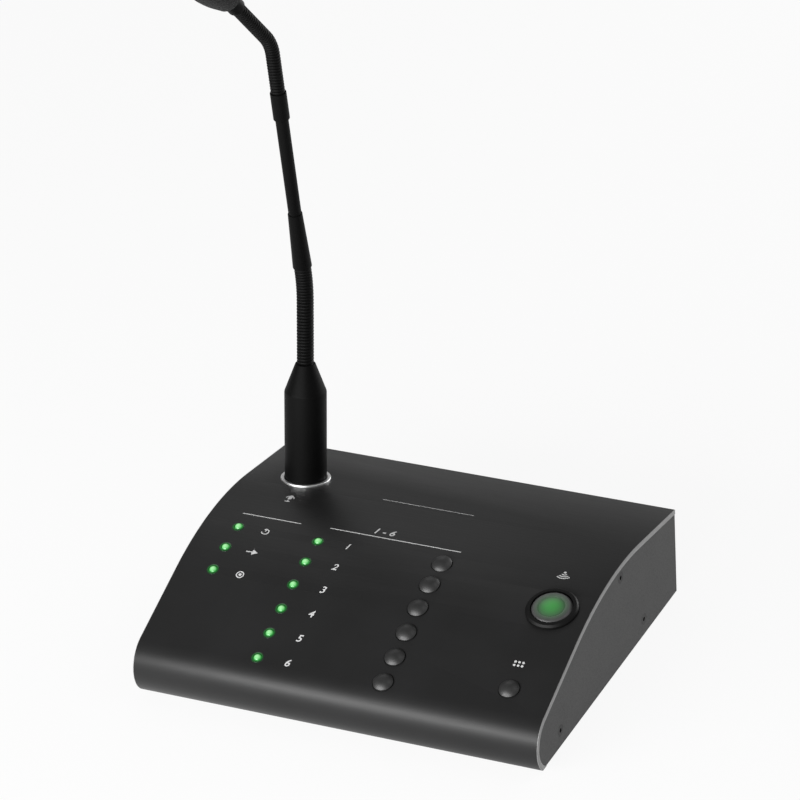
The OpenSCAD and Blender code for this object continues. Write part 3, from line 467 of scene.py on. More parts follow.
def drawPrism(name, ring, long):
    # a closed line in Y and Z, drawn out along X and left in edit mode
    obj = drawLine(name, [(-long / 2, p[0], p[1]) for p in ring + ring[:1]])
    bpy.ops.mesh.remove_doubles(threshold=weld)
    bpy.ops.mesh.edge_face_add()
    bpy.ops.mesh.extrude_region_move(TRANSFORM_OT_translate={"value": (long * mm, 0, 0)})
    return obj


def rounded(corners, steps=5, straight=0.02):
    # corners are (r, z) or (r, z, radius of the round)
    path = []
    for i, corner in enumerate(corners):
        here = Vector(corner[:2])
        radius = corner[2] if len(corner) > 2 else 0
        if not radius or i in (0, len(corners) - 1):
            path.append(here)
            continue
        before = (Vector(corners[i - 1][:2]) - here).normalized()
        after = (Vector(corners[i + 1][:2]) - here).normalized()
        half = before.angle(after) / 2
        if half > math.pi / 2 - straight:
            # nearly straight on, so nothing to round
            path.append(here)
            continue
        mid = here + (before + after).normalized() * radius / math.sin(half)
        start = here + before * radius / math.tan(half) - mid
        end = here + after * radius / math.tan(half) - mid
        path += [mid + start.lerp(end, k / steps).normalized() * radius for k in range(steps + 1)]
    return path


def lathe(name, corners, steps, loop=False):
    # loop closes the outline of a piece with a bore
    path = rounded(corners)
    if loop:
        path = path + path[:1]
    obj = drawLine(name, [(p[0], 0, p[1]) for p in path])
    bpy.ops.mesh.spin(steps=steps, angle=2 * math.pi, center=(0, 0, 0), axis=(0, 0, 1))
    closeUp()
    return obj


def settle(obj, place, angle=crease["plain"]):
    pick(obj)
    obj.matrix_world = place @ obj.matrix_world
    applyPlace()
    bpy.ops.object.shade_smooth_by_angle(angle=math.radians(angle))
    return obj


def wallUp(obj, label, thick, offset):
    # offset is 1 for a wall outside the sheet, -1 inside, 0 to both sides
    pick(obj)
    wall = obj.modifiers.new(label, "SOLIDIFY")
    wall.thickness = thick * mm
    wall.offset = offset
    bpy.ops.object.modifier_apply(modifier=wall.name)
    return obj


def joinUp(name, objs):
    pick(*objs)
    if len(objs) > 1:
        bpy.ops.object.join()
    objs[0].name = name
    return objs[0]


def dress(obj, finish, body, slot, *nodes):
    if not obj.data.materials:
        obj.data.materials.append(finish)
    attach(obj, body)
    if nodes:
        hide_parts(*nodes)
    return obj


def markGlow(obj, rule):
    # rule gives the glow at a radius and a height on the piece's own axis, in millimetres
    glow = obj.data.attributes.new("glow", "FLOAT", "POINT")
    for point in obj.data.vertices:
        glow.data[point.index].value = rule(math.hypot(point.co.x, point.co.y) / mm, point.co.z / mm)


# cover: one bent shell with a rounded nose, cut square at both ends
cover = dict(noseSteps=34, archSteps=34, edgeRound=0.3, edgeSteps=2, edgeSlack=0.05, edgeLean=0.3,
             channelAt=55, channelDrop=4.4, channelR=3.4, channelStep=15, channelLong=193, screwHole=3.1,
             boreSpare=20, pegSides=64, pegLong=40)
controls = dict(rowFirst=1.6, rowPitch=14.2, rowCount=6, statusCount=3, statusX=-82, zoneLampX=-41,
                buttonX=21.5, allX=79, allU=11, lampHole=4.44, buttonHole=10.1)
rows = [controls["rowFirst"] + i * controls["rowPitch"] for i in reversed(range(controls["rowCount"]))]
statusRows = rows[:controls["statusCount"]]
callSpot = dict(x=82, u=57.6, hole=21.5)
micSpot = dict(x=-72, back=38.9, hole=22.7)
micU = console["slopeLen"] + archLen + console["backLen"] - micSpot["back"]


def callFrame():
    return panelFrame(callSpot["x"], callSpot["u"])


def micFrame():
    return panelFrame(micSpot["x"], micU)


def sectionLine(inset):
    # from the nose's lower edge over the top to the back, pulled in by inset
    noseR, topR = console["noseR"] - inset, console["topR"] - inset
    low = math.degrees(math.acos(-console["noseZ"] / noseR))
    turn, steps = console["slope"] - low, cover["noseSteps"]
    line = [noseMid + polar(noseR, low + turn * i / steps) for i in range(steps + 1)]
    turn, steps = console["topTurn"], cover["archSteps"]
    line += [archMid + polar(topR, console["slope"] - turn * i / steps) for i in range(steps + 1)]
    end, run = line[-1], alongPanel(-fall)
    line.append(end + run * (depth / 2 - end[0]) / run[0])
    return line


def channelBar(mid, tilt):
    # screw channel under the top, between the end plates
    inR = console["topR"] - console["shell"] / 2
    half = math.degrees(cover["channelR"] / inR)
    ring = [archMid + polar(inR, tilt + half)]
    ring += [mid + polar(cover["channelR"], tilt + a) for a in range(90, 271, cover["channelStep"])]
    ring += [archMid + polar(inR, tilt - half)]
    obj = drawPrism("screwChannel", ring, cover["channelLong"])
    closeUp()
    return obj


def trim(obj, tool, how):
    pick(obj)
    cut = obj.modifiers.new(how.lower(), "BOOLEAN")
    cut.operation = how
    cut.solver = "EXACT"
    cut.object = tool
    bpy.ops.object.modifier_apply(modifier=cut.name)
    bpy.data.objects.remove(tool)


def peg(width, place, long=cover["pegLong"]):
    fresh()
    bpy.ops.mesh.primitive_cylinder_add(vertices=cover["pegSides"], radius=width / 2 * mm, depth=long * mm)
    obj = bpy.context.object
    obj.matrix_world = place
    applyPlace()
    return obj


def coverCuts(bore):
    columns = ((controls["statusX"], statusRows, "lampHole"), (controls["zoneLampX"], rows, "lampHole"),
               (controls["buttonX"], rows, "buttonHole"),
               (controls["allX"], [controls["allU"]], "buttonHole"))
    pegs = [peg(controls[hole], slopeFrame(x, u)) for x, us, hole in columns for u in us]
    pegs += [peg(callSpot["hole"], callFrame()), peg(micSpot["hole"], micFrame())]
    pegs.append(peg(cover["screwHole"], bore, console["width"] + cover["boreSpare"]))
    return joinUp("coverCuts", pegs)


def makeCover():
    tilt = console["slope"] - math.degrees(cover["channelAt"] / console["topR"])
    mid = archMid + polar(console["topR"] - console["shell"] - cover["channelDrop"], tilt)
    bore = Matrix.Translation((0, mid[0] * mm, mid[1] * mm)) @ Matrix.Rotation(math.pi / 2, 4, "Y")
    edge = console["width"] / 2
    obj = drawPrism("coverShell", sectionLine(0) + sectionLine(console["shell"])[::-1], console["width"])
    bpy.ops.mesh.select_all(action="SELECT")
    bpy.ops.mesh.normals_make_consistent(inside=False)
    bpy.ops.mesh.select_all(action="DESELECT")
    shape = bmesh.from_edit_mesh(obj.data)
    for line in shape.edges:
        line.select = all(abs(abs(v.co.x) - edge * mm) < near for v in line.verts)
    bmesh.update_edit_mesh(obj.data)
    bpy.ops.mesh.bevel(offset=cover["edgeRound"] * mm, segments=cover["edgeSteps"], affect="EDGES")
    bpy.ops.object.mode_set(mode="OBJECT")
    trim(obj, channelBar(mid, tilt), "UNION")
    trim(obj, coverCuts(bore), "DIFFERENCE")
    obj.data.materials.append(coverFinish)
    obj.data.materials.append(edgeFinish)
    for face in obj.data.polygons:
        atEnd = abs(face.center.x) > (edge - cover["edgeRound"] - cover["edgeSlack"]) * mm
        face.material_index = 1 if atEnd and abs(face.normal.x) > cover["edgeLean"] else 0
    settle(obj, asDrawn, crease["cover"])
    return dress(obj, coverFinish, "base", "cover_black", "top_cover")


makeCover()
print("cover made")


# push buttons: a dome, a side, a rim that holds it under the panel, a stem for its switch
button = dict(width=9.5, proud=2.6, dome=2.1, crown=1.89, edge=0.25, sideRound=0.35, rim=0.9, rimHigh=0.8,
              rimRound=0.15, gap=0.3, stem=3.8, stemRound=0.3, stemIn=1.0, switchTop=-10.62, steps=72)


def surfaceDrop(u, inset=0):
    # how far the panel lies below the slope's plane
    if u < 0:
        return console["noseR"] - math.sqrt((console["noseR"] - inset) ** 2 - u ** 2)
    past = max(0, u - console["slopeLen"])
    return console["topR"] - math.sqrt((console["topR"] - inset) ** 2 - past ** 2)


def domeLine(radius, high, top, steps=10):
    ball = (radius ** 2 + high ** 2) / (2 * high)
    reach = math.asin(radius / ball)
    turns = [reach * i / steps for i in range(steps + 1)]
    return [(ball * math.sin(a), top - ball + ball * math.cos(a)) for a in turns]


def makeButton(name, x, u, node):
    half, stemR = button["width"] / 2, button["stem"] / 2
    top = button["proud"] - surfaceDrop(u)
    reach = half + button["rim"]
    rimTop = -max(surfaceDrop(u + side * reach, console["shell"]) for side in (-1, 1)) - button["gap"]
    rimLow, low = rimTop - button["rimHigh"], button["switchTop"] - button["stemIn"]
    corners = domeLine(half - button["edge"], button["crown"], top)
    corners += [(half, top - button["dome"], button["sideRound"]), (half, rimTop),
                (reach, rimTop, button["rimRound"]), (reach, rimLow, button["rimRound"]), (stemR, rimLow),
                (stemR, low, button["stemRound"]), (0, low)]
    obj = lathe(name, corners, button["steps"])
    settle(obj, slopeFrame(x, u), crease["turned"])
    return dress(obj, buttonFinish, node, "button_black", node)


for i, u in enumerate(rows):
    makeButton("zoneButton" + str(i + 1), controls["buttonX"], u, "zone_button_" + str(i + 1))
makeButton("allButton", controls["allX"], controls["allU"], "all_button")
print("buttons made")


# lamps: a lit dome in a thin collar, on two wire legs
lamp = dict(width=4.2, proud=1.0, long=6.0, domeStep=9, lowRound=0.2, collar=6.0, collarHigh=0.28,
            collarIn=0.3, collarSide=0.05, collarRound=0.1, lip=0.15, lipDrop=0.05, leg=0.6, legRound=0.08,
            board=-14.92, edgeGlow=0.36, glowR=1.9, halo=0.13, haloWide=0.9, steps=40)


def leg(place, low, long):
    fresh()
    bpy.ops.mesh.primitive_cube_add(size=1)
    obj = bpy.context.object
    obj.scale = (lamp["leg"] * mm, lamp["leg"] * mm, long * mm)
    obj.location = (0, 0, (low + long / 2) * mm)
    applyPlace()
    openUp(obj)
    bpy.ops.mesh.bevel(offset=lamp["legRound"] * mm, segments=1, affect="EDGES")
    bpy.ops.object.mode_set(mode="OBJECT")
    obj.data.attributes.new("glow", "FLOAT", "POINT")
    return settle(obj, place)


def makeLamps(name, x, us, node):
    half, outR = lamp["width"] / 2, lamp["collar"] / 2
    top, low = lamp["proud"], lamp["proud"] - lamp["long"]
    high, under = lamp["collarHigh"], -lamp["collarIn"]
    bend = [math.radians(a) for a in range(0, 91, lamp["domeStep"])]
    dome = [(half * math.sin(a), top - half + half * math.cos(a)) for a in bend]
    rim = [(half, under), (outR, under), (outR, lamp["collarSide"], lamp["collarRound"]),
           (half + lamp["lip"], high, lamp["collarRound"]), (half, high - lamp["lipDrop"])]
    core = 1 - lamp["edgeGlow"]
    made = []
    for u in us:
        lens = lathe("lens", dome + [(half, low, lamp["lowRound"]), (0, low)], lamp["steps"])
        markGlow(lens, lambda r, z: lamp["edgeGlow"] + core * max(0, 1 - (r / lamp["glowR"]) ** 2))
        collar = lathe("collar", rim, lamp["steps"], True)
        # the collar glows green, fading out from the lens: painted glow of the lamp's light on the collar
        markGlow(collar, lambda r, z: max(0, lamp["halo"] * (1 - (r - half) / lamp["haloWide"])))
        sunk = Matrix.Translation((0, 0, -surfaceDrop(u) * mm))
        settle(lens, slopeFrame(x, u) @ sunk, crease["turned"])
        settle(collar, panelFrame(x, u), crease["turned"])
        made += [lens, collar]
        long = low - surfaceDrop(u) - lamp["board"]
        made += [leg(slopeFrame(x + side * lamp["width"] / 4, u), lamp["board"], long) for side in (-1, 1)]
    obj = joinUp(name, made)
    return dress(obj, lampFinish, "base", "lamp_green", node)


makeLamps("statusLamps", controls["statusX"], statusRows, "status_lamps")
makeLamps("zoneLamps", controls["zoneLampX"], rows, "zone_lamps")
print("lamps made")


# call button: ring, smoked cap and lit lens
callRing = dict(wide=24.4, high=2.0, seat=0.75, side=0.9, slant=0.9, barrel=21.4, bore=19.6, barrelLong=13,
                lowRound=0.2, sideRound=0.35, topRound=0.6, boreRound=0.25, steps=96)
callCap = dict(wide=19, proud=2.0, thick=4.5, side=0.8, slant=0.9, lip=0.7, lipHigh=0.15, stem=3.8,
               stemIn=1.0, seatRound=0.2, lipRound=0.3, topRound=0.5, sideRound=0.3, lowRound=0.2,
               stemRound=0.3, spill=2.6)
callLens = dict(wide=12, thick=2.0, dome=1.0, domeSteps=14, gap=0.05, fade=1.1)


def callTurned(name, corners, loop=False):
    return lathe(name, corners, callRing["steps"], loop)


def makeCallRing():
    outR, boreR, barrelR = (callRing[key] / 2 for key in ("wide", "bore", "barrel"))
    high, seat, low = callRing["high"], -callRing["seat"], -callRing["barrelLong"]
    corners = [(boreR, low), (barrelR, low, callRing["lowRound"]), (barrelR, seat), (outR, seat),
               (outR, callRing["side"], callRing["sideRound"]),
               (outR - callRing["slant"], high, callRing["topRound"]), (boreR, high, callRing["boreRound"])]
    obj = settle(callTurned("callRing", corners, True), callFrame(), crease["turned"])
    dress(obj, rimFinish, "base", "bezel_black", "call_bezel")


def makeCallCap():
    capR, stemR, lensR = callCap["wide"] / 2, callCap["stem"] / 2, callLens["wide"] / 2
    top, seatR = callCap["proud"], lensR + callLens["gap"]
    seat, under = top - callLens["thick"], top - callCap["thick"]
    end = -callRing["barrelLong"] - callCap["stemIn"]
    corners = [(0, seat), (seatR, seat), (seatR, top - callLens["gap"], callCap["seatRound"]),
               (lensR + callCap["lip"], top + callCap["lipHigh"], callCap["lipRound"]),
               (capR - callCap["slant"], top, callCap["topRound"]),
               (capR, top - callCap["side"], callCap["sideRound"]), (capR, under, callCap["lowRound"]),
               (stemR, under), (stemR, end, callCap["stemRound"]), (0, end)]
    obj = callTurned("callCap", corners)
    # the cap glows green near the lens, fading outward: painted glow of the lens's light in the cap
    markGlow(obj, lambda r, z: max(0, 1 - (r - lensR) / callCap["spill"]) if z > under else 0)
    dress(settle(obj, callFrame(), crease["turned"]), capFinish, "call_button", "cap_grey", "call_cap")


def makeCallLens():
    lensR, top, dome = callLens["wide"] / 2, callCap["proud"], callLens["dome"]
    seat = top - callLens["thick"]
    corners = domeLine(lensR, dome, top + dome, callLens["domeSteps"]) + [(lensR, seat), (0, seat)]
    obj = callTurned("callLens", corners)
    markGlow(obj, lambda r, z: max(0, 1 - (r / lensR) ** 2) ** callLens["fade"])
    dress(settle(obj, callFrame(), crease["turned"]), lensFinish, "call_button", "lens_green", "call_lens")


makeCallRing()
makeCallCap()
makeCallLens()
print("call button made")


# microphone: socket ring, plug barrel, sleeve, stem and fittings, all turned on a lathe
mic = dict(plug=20, plugIn=15, plugHigh=44.3, plugBore=16, plugRound=0.4, shoulder=14, shoulderRound=2.5,
           tip=9.4, tipRound=0.5, flexBore=4.4, flexIn=6, lowBore=8.2, ring=23.8, ringHigh=1.0,
           ringRound=0.35, mouthRound=0.3, tube=22.6, tubeBore=20.3, tubeRound=0.3, socketEnd=17.15,
           floorZ=15.15, leadHole=3.1, plateTop=-0.6, steps=96)
neck = dict(lowWide=8.1, lowStraight=30.4, lowBend=15, lowBendR=60, lowEnd=9, topWide=6.7, topStraight=25.5,
            topBend=33, topBendR=20, topEnd=32, turn=18, rib=0.4, ribPitch=1.5, ribFull=0.6,
            ribSpots=(0, 0.14, 0.32, 0.5, 0.68, 0.86), bore=4.4, boreSteps=24, clear=1, steps=40)
stem = dict(wide=6.1, bore=4.6, seat=6.2, sleeve=29, sleeveLow=9.0, sleeveTop=6.8, long=51, endRound=0.2,
            fitting=14, fittingWide=7.6, fittingRound=0.35, topBore=6.8, steps=64)
head = dict(collar=7, collarWide=8.2, lowRound=0.5, topRound=0.3, housing=26, housingWide=10.8,
            foamStart=0.5, foamLong=42, foamWide=23, mouth=0.8)
shoulderZ = mic["plugHigh"] + mic["shoulder"]


def leanFrame(base, y, z, lean):
    # a frame further along the neck; lean is in degrees, y and z in the base frame's millimetres
    return base @ Matrix.Translation((0, y * mm, z * mm)) @ Matrix.Rotation(math.radians(lean), 4, "X")


def neckPoint(t, straight, bendR, bend):
    # point in Y and Z at length t of a neck that is straight and then bends, and its lean in radians
    q = 0 if t <= straight else min(math.radians(bend), (t - straight) / bendR)
    rest = max(0, t - straight - bendR * math.radians(bend))
    y = -bendR * (1 - math.cos(q)) - rest * math.sin(q)
    z = min(t, straight) + bendR * math.sin(q) + rest * math.cos(q)
    return (y, z), q


lowShape = (neck["lowStraight"], neck["lowBendR"], neck["lowBend"])
topShape = (neck["topStraight"], neck["topBendR"], neck["topBend"])
lowArc = neck["lowBendR"] * math.radians(neck["lowBend"])
topArc = neck["topBendR"] * math.radians(neck["topBend"])


def stemFrame():
    end = neckPoint(neck["lowStraight"] + lowArc, *lowShape)[0]
    return leanFrame(micFrame(), end[0], shoulderZ + end[1], neck["lowBend"])


def turnFrame():
    # the stem's frame, turned to where the upper bend points
    return stemFrame() @ Matrix.Rotation(math.radians(-neck["turn"]), 4, "Z")


stemStart = neck["lowEnd"] - mic["flexIn"]
stemEnd = stemStart + stem["sleeve"] + stem["long"]
topNeckZ = stemEnd + stem["fitting"] - mic["flexIn"]


def headFrame():
    end = neckPoint(neck["topStraight"] + topArc, *topShape)[0]
    return leanFrame(turnFrame(), end[0], topNeckZ + end[1], neck["topBend"])


def makeSocketRing():
    tubeR, boreR, ringR, holeR = (mic[key] / 2 for key in ("tube", "tubeBore", "ring", "leadHole"))
    low, high, floor = -mic["socketEnd"], mic["ringHigh"], -mic["floorZ"]
    corners = [(holeR, low), (tubeR, low, mic["tubeRound"]), (tubeR, 0), (ringR, 0),
               (ringR, high, mic["ringRound"]), (boreR, high, mic["mouthRound"]), (boreR, floor),
               (holeR, floor)]
    obj = lathe("socketRing", corners, mic["steps"], True)
    return dress(settle(obj, micFrame(), crease["turned"]), ringFinish, "base", "bright_ring", "mic_socket")


def turnBlack(name, corners, steps, place, body, node):
    obj = lathe(name, corners, steps, True)
    return dress(settle(obj, place, crease["mic"]), micFinish, body, "mic_black", node)


def makeBarrel():
    plugR, boreR, flexR = (mic[key] / 2 for key in ("plug", "plugBore", "flexBore"))
    tipR, lowR = mic["tip"] / 2, mic["lowBore"] / 2
    low, plate, seat = -mic["plugIn"], mic["plateTop"], shoulderZ - mic["flexIn"]
    corners = [(boreR, low), (plugR, low, mic["plugRound"]), (plugR, mic["plugHigh"], mic["shoulderRound"]),
               (tipR, shoulderZ, mic["tipRound"]), (lowR, shoulderZ), (lowR, seat), (flexR, seat),
               (flexR, plate), (boreR, plate)]
    return turnBlack("plugBarrel", corners, mic["steps"], micFrame(), "base", "mic_barrel")


def makeSleeve():
    low, step, high = stemStart, stemStart + mic["flexIn"], stemStart + stem["sleeve"]
    seatR, lowR, topR = (stem[key] / 2 for key in ("seat", "sleeveLow", "sleeveTop"))
    boreR = mic["lowBore"] / 2
    corners = [(seatR, high), (seatR, step), (boreR, step), (boreR, low), (lowR, low, stem["endRound"]),
               (topR, high, stem["endRound"])]
    return turnBlack("neckSleeve", corners, stem["steps"], stemFrame(), "neck_upper", "neck_sleeve")


def makeStem():
    low, high = neck["lowEnd"], stemEnd + mic["flexIn"]
    boreR, outR = stem["bore"] / 2, stem["wide"] / 2
    corners = [(boreR, low), (outR, low, stem["endRound"]), (outR, high, stem["endRound"]), (boreR, high)]
    return turnBlack("stemTube", corners, stem["steps"], stemFrame(), "neck_upper", "stem_tube")


def makeFitting():
    outR, seatR, topR, boreR = (stem[key] / 2 for key in ("fittingWide", "seat", "topBore", "bore"))
    low, high = stemEnd, stemEnd + stem["fitting"]
    lowStep, highStep = low + mic["flexIn"], high - mic["flexIn"]
    corners = [(seatR, low), (outR, low, stem["fittingRound"]), (outR, high, stem["fittingRound"]),
               (topR, high), (topR, highStep), (boreR, highStep), (boreR, lowStep), (seatR, lowStep)]
    return turnBlack("upperFitting", corners, stem["steps"], stemFrame(), "neck_upper", "upper_fitting")


headZ = neck["topEnd"] - mic["flexIn"] + head["collar"]


def makeCollar():
    low, step = neck["topEnd"] - mic["flexIn"], neck["topEnd"]
    outR, topR, boreR = head["collarWide"] / 2, stem["topBore"] / 2, neck["bore"] / 2
    corners = [(topR, low), (outR, low, head["lowRound"]), (outR, headZ, head["topRound"]), (boreR, headZ),
               (boreR, step), (topR, step)]
    return turnBlack("headCollar", corners, stem["steps"], headFrame(), "head", "head_collar")


makeSocketRing()
makeBarrel()
makeSleeve()
makeStem()
makeFitting()
makeCollar()
print("turned pieces made")


# flexible necks: wound steel, seen as rounded ribs, bent as the solids are
lowRun = dict(base=micFrame(), low=shoulderZ, shape=lowShape, wide=neck["lowWide"])
topRun = dict(base=turnFrame(), low=topNeckZ, shape=topShape, wide=neck["topWide"])


def ribLine(t0, t1, outR, boreR):
    ribs = math.floor((t1 - t0) / neck["ribPitch"])
    pitch = (t1 - t0) / ribs
    line = [(boreR, t0)]
    for k in range(ribs):
        for f in neck["ribSpots"]:
            groove = neck["rib"] * (1 - math.sin(math.pi * f) ** neck["ribFull"])
            line.append((outR - groove, t0 + (k + f) * pitch))
    line += [(outR - neck["rib"], t1), (boreR, t1)]
    return line + [(boreR, t1 + (t0 - t1) * i / neck["boreSteps"]) for i in range(1, neck["boreSteps"])]


def makeFlex(name, run, t0, t1, bends, node):
    # t0 and t1 are lengths along the neck; bends gives two lengths whose points are worked out and not used
    base, low, shape = run["base"], run["low"], run["shape"]
    obj = lathe(name, ribLine(t0, t1, run["wide"] / 2, neck["bore"] / 2), neck["steps"], True)
    for point in obj.data.vertices:
        spot, q = neckPoint(point.co.z / mm, *shape)
        y = point.co.y
        point.co = (point.co.x, spot[0] * mm + y * math.cos(q), (low + spot[1]) * mm + y * math.sin(q))
    settle(obj, base, crease["soft"])
    obj.data.materials.append(neckFinish)
    spots = [neckPoint(t, *shape)[0] for t in bends]
    ends = [base @ (Vector((0, p[0], low + p[1])) * mm) for p in spots]
    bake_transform(obj)
    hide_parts(node)


lowSplit = neck["lowStraight"] - neck["lowEnd"]
lowTop = neck["lowStraight"] + lowArc + neck["lowEnd"]
topSplit = neck["topStraight"]
topTop = neck["topStraight"] + topArc + neck["topEnd"]
hold, clear = mic["flexIn"], neck["clear"]
makeFlex("lowerNeckA", lowRun, -hold, lowSplit, (clear, lowSplit - clear),
         "lower_flex_1")
makeFlex("lowerNeckB", lowRun, lowSplit, lowTop,
         (lowSplit + clear, lowTop - hold - clear), "lower_flex_2")
makeFlex("upperNeckA", topRun, 0, topSplit, (hold + clear, topSplit - clear),
         "upper_flex_1")
makeFlex("upperNeckB", topRun, topSplit, topTop,
         (topSplit + clear, topTop - hold - clear), "upper_flex_2")
print("flexible necks made")


# windscreen: an egg of open-cell foam over the capsule housing
foam = dict(steps=132, rings=92, pore=0.9, poreDeep=0.22, swell=4.5, swellDeep=0.12, fit=0.05, inside=0.15,
            lip=0.25, lipTurns=(0.8, 1.57, 2.4))


def foamLine(boreR, boreLong):
    # from the bore's end to its mouth, round the lip and over the egg to the tip
    foamR, long = head["foamWide"] / 2 - foam["inside"], head["foamLong"] - foam["inside"]
    mouth, lip = head["mouth"], foam["lip"]
    mouthR = boreR + mouth
    line = [(0, boreLong), (boreR, boreLong), (boreR, lip)]
    line += [(boreR + mouth * (1 - math.cos(a)) / 2, lip - lip * math.sin(a)) for a in foam["lipTurns"]]
    for k in range(foam["rings"] + 1):
        a = math.pi * k / foam["rings"]
        if a < math.pi / 2:
            rise = lip + (long / 2 - lip) * a / (math.pi / 2)
            line.append((mouthR + (foamR - mouthR) * math.sin(a), rise))
        else:
            line.append((foamR * math.sin(a), long * (1 - math.cos(a)) / 2))
    line[-1] = (0, long)
    return line


def makeWindscreen():
    boreR = head["housingWide"] / 2 + foam["fit"]
    boreLong = head["housing"] - head["foamStart"] + foam["fit"]
    obj = lathe("foamScreen", foamLine(boreR, boreLong), foam["steps"])
    for label, kind, size, deep in (("swell", "CLOUDS", foam["swell"], foam["swellDeep"]),
                                    ("pores", "VORONOI", foam["pore"], foam["poreDeep"])):
        pattern = bpy.data.textures.new(label, kind)
        pattern.noise_scale = size * mm
        pick(obj)
        push = obj.modifiers.new(label, "DISPLACE")
        push.texture = pattern
        push.texture_coords = "LOCAL"
        push.mid_level = 0.5
        push.strength = deep * mm
        bpy.ops.object.modifier_apply(modifier=push.name)
    settle(obj, leanFrame(headFrame(), 0, headZ + head["foamStart"], 0), crease["soft"])
    dress(obj, foamFinish, "head", "foam_black", "windscreen")


makeWindscreen()
print("windscreen made")


# print on the panel: numbers by the zone lamps, plain signs and thin rules
legend = dict(thick=0.03, lift=0.02, number=5.4, heading=5.8, bold=0.08, lean=0.2, line=0.55, rule=0.5,
              fineRule=0.28, numberOff=15, hoopSteps=36, dotSides=24)
# x and u of each drawing, with the length of a rule before them
printAt = dict(status=-68, statusDrop=0.2, mic=(-69, 101.2), call=(80.5, 82.6), all=(78.3, 25.0),
               heading=(-14, 87.6), zoneRule=(66, -6.5, 83.4), statusRule=(30, -69.3, 82.7),
               topRule=(46.6, -4.8, 116.5))


def layOnPanel(obj, x, u):
    # wraps a flat drawing, in metres about its own origin, over the panel at x and u
    for point in obj.data.vertices:
        spot = panelSpot(u + point.co.y / mm, legend["lift"] + point.co.z / mm)[0]
        point.co = (x * mm + point.co.x, spot[0] * mm, spot[1] * mm)
    return obj


def thicken(obj):
    return wallUp(obj, "ink", legend["thick"], 1)


def upright(obj):
    # flat ink faces up
    if obj.data.polygons[0].normal.z < 0:
        openUp(obj)
        bpy.ops.mesh.flip_normals()
        bpy.ops.object.mode_set(mode="OBJECT")
    return obj


def bar(wide, high, x=0, y=0):
    fresh()
    bpy.ops.mesh.primitive_plane_add(size=1)
    obj = bpy.context.object
    obj.scale = (wide * mm, high * mm, 1)
    obj.location = (x * mm, y * mm, 0)
    applyPlace()
    openUp(obj)
    bpy.ops.mesh.subdivide(number_cuts=2)
    bpy.ops.object.mode_set(mode="OBJECT")
    return thicken(obj)


def hoop(radius, wide, first=0, last=360, x=0, y=0):
    # a flat ring or part of one; angles in degrees from +X
    a = math.radians(first)
    edges = (radius - wide / 2, radius + wide / 2)
    obj = drawLine("hoop", [(r * math.cos(a), r * math.sin(a), 0) for r in edges])
    span = math.radians(last - first)
    bpy.ops.mesh.spin(steps=legend["hoopSteps"], angle=span, center=(0, 0, 0), axis=(0, 0, 1))
    closeUp()
    for point in obj.data.vertices:
        point.co += Vector((x, y, 0)) * mm
    return thicken(upright(obj))


def disc(radius, x=0, y=0, sides=legend["dotSides"], turn=0):
    fresh()
    bpy.ops.mesh.primitive_circle_add(vertices=sides, radius=radius * mm, fill_type="NGON",
                                      location=(x * mm, y * mm, 0), rotation=(0, 0, math.radians(turn)))
    applyPlace()
    return thicken(upright(bpy.context.object))


def number(words, size):
    fresh()
    bpy.ops.object.text_add()
    obj = bpy.context.object
    obj.data.body = words
    obj.data.size = size * mm
    obj.data.shear = legend["lean"]
    obj.data.offset = legend["bold"] * mm
    obj.data.align_x = "CENTER"
    obj.data.align_y = "CENTER"
    bpy.ops.object.convert(target="MESH")
    openUp(obj)
    bpy.ops.mesh.remove_doubles(threshold=weld)
    bpy.ops.object.mode_set(mode="OBJECT")
    return thicken(upright(obj))


# the signs' strokes, in millimetres about the sign's own middle
def powerSign():
    return [hoop(1.7, legend["line"], 125, 415), bar(legend["line"], 2.0, 0, 1.2)]


def sendSign():
    return [disc(1.9, 0.9, 0, 3, -90), bar(3.0, legend["line"], -1.6, 0)]


def busySign():
    return [hoop(1.7, legend["line"]), disc(0.75)]


def micSign():
    stand = [bar(legend["line"], 1.5, 0, -2.2), bar(2.4, legend["line"], 0, -2.9)]
    capsule = [bar(1.9, 2.0, 0, 1.0), disc(0.95, 0, 2.0), disc(0.95)]
    return [hoop(1.9, legend["line"], 180, 360, 0, 0.2)] + stand + capsule


def callSign():
    return [hoop(r, legend["line"], -42, 42, -2.2) for r in (1.8, 3.1, 4.4)] + [disc(0.7, -2.2)]


def allSign():
    return [disc(0.62, x, y, 20) for x in (-1.9, 0, 1.9) for y in (-0.95, 0.95)]


def makeLegend():
    numberX = controls["zoneLampX"] + legend["numberOff"]
    pieces = [layOnPanel(number(str(i + 1), legend["number"]), numberX, u) for i, u in enumerate(rows)]
    statusX, drop = printAt["status"], printAt["statusDrop"]
    signs = ((powerSign, statusX, rows[0]), (sendSign, statusX, rows[1] - drop),
             (busySign, statusX, rows[2] - drop), (micSign, *printAt["mic"]), (callSign, *printAt["call"]),
             (allSign, *printAt["all"]))
    for sign, x, u in signs:
        pieces += [layOnPanel(obj, x, u) for obj in sign()]
    pieces.append(layOnPanel(number("1 - 6", legend["heading"]), *printAt["heading"]))
    for label, wide in (("zoneRule", "rule"), ("statusRule", "rule"), ("topRule", "fineRule")):
        long, x, u = printAt[label]
        pieces.append(layOnPanel(bar(long, legend[wide]), x, u))
    obj = joinUp("panelPrint", pieces)
    settle(obj, asDrawn, crease["ink"])
    dress(obj, printFinish, "base", "cap_grey")


makeLegend()
print("print laid on the panel")


def inRow(obj, count, pitch):
    pick(obj)
    row = obj.modifiers.new("row", "ARRAY")
    row.count = count
    row.use_relative_offset = False
    row.use_constant_offset = True
    row.constant_offset_displace = (pitch * mm, 0, 0)
    bpy.ops.object.modifier_apply(modifier=row.name)


# link socket: eight spring contacts in its mouth
contacts = dict(count=8, pitch=1.02, wide=0.42, thick=0.3, x=22, low=19.0, high=23.9, mouth=82.4, deep=72.2,
                bend=1.4, lip=(0.5, 0.4), tuck=(0.6, 1.0), rise=(4.0, 0.9), foot=2.4)


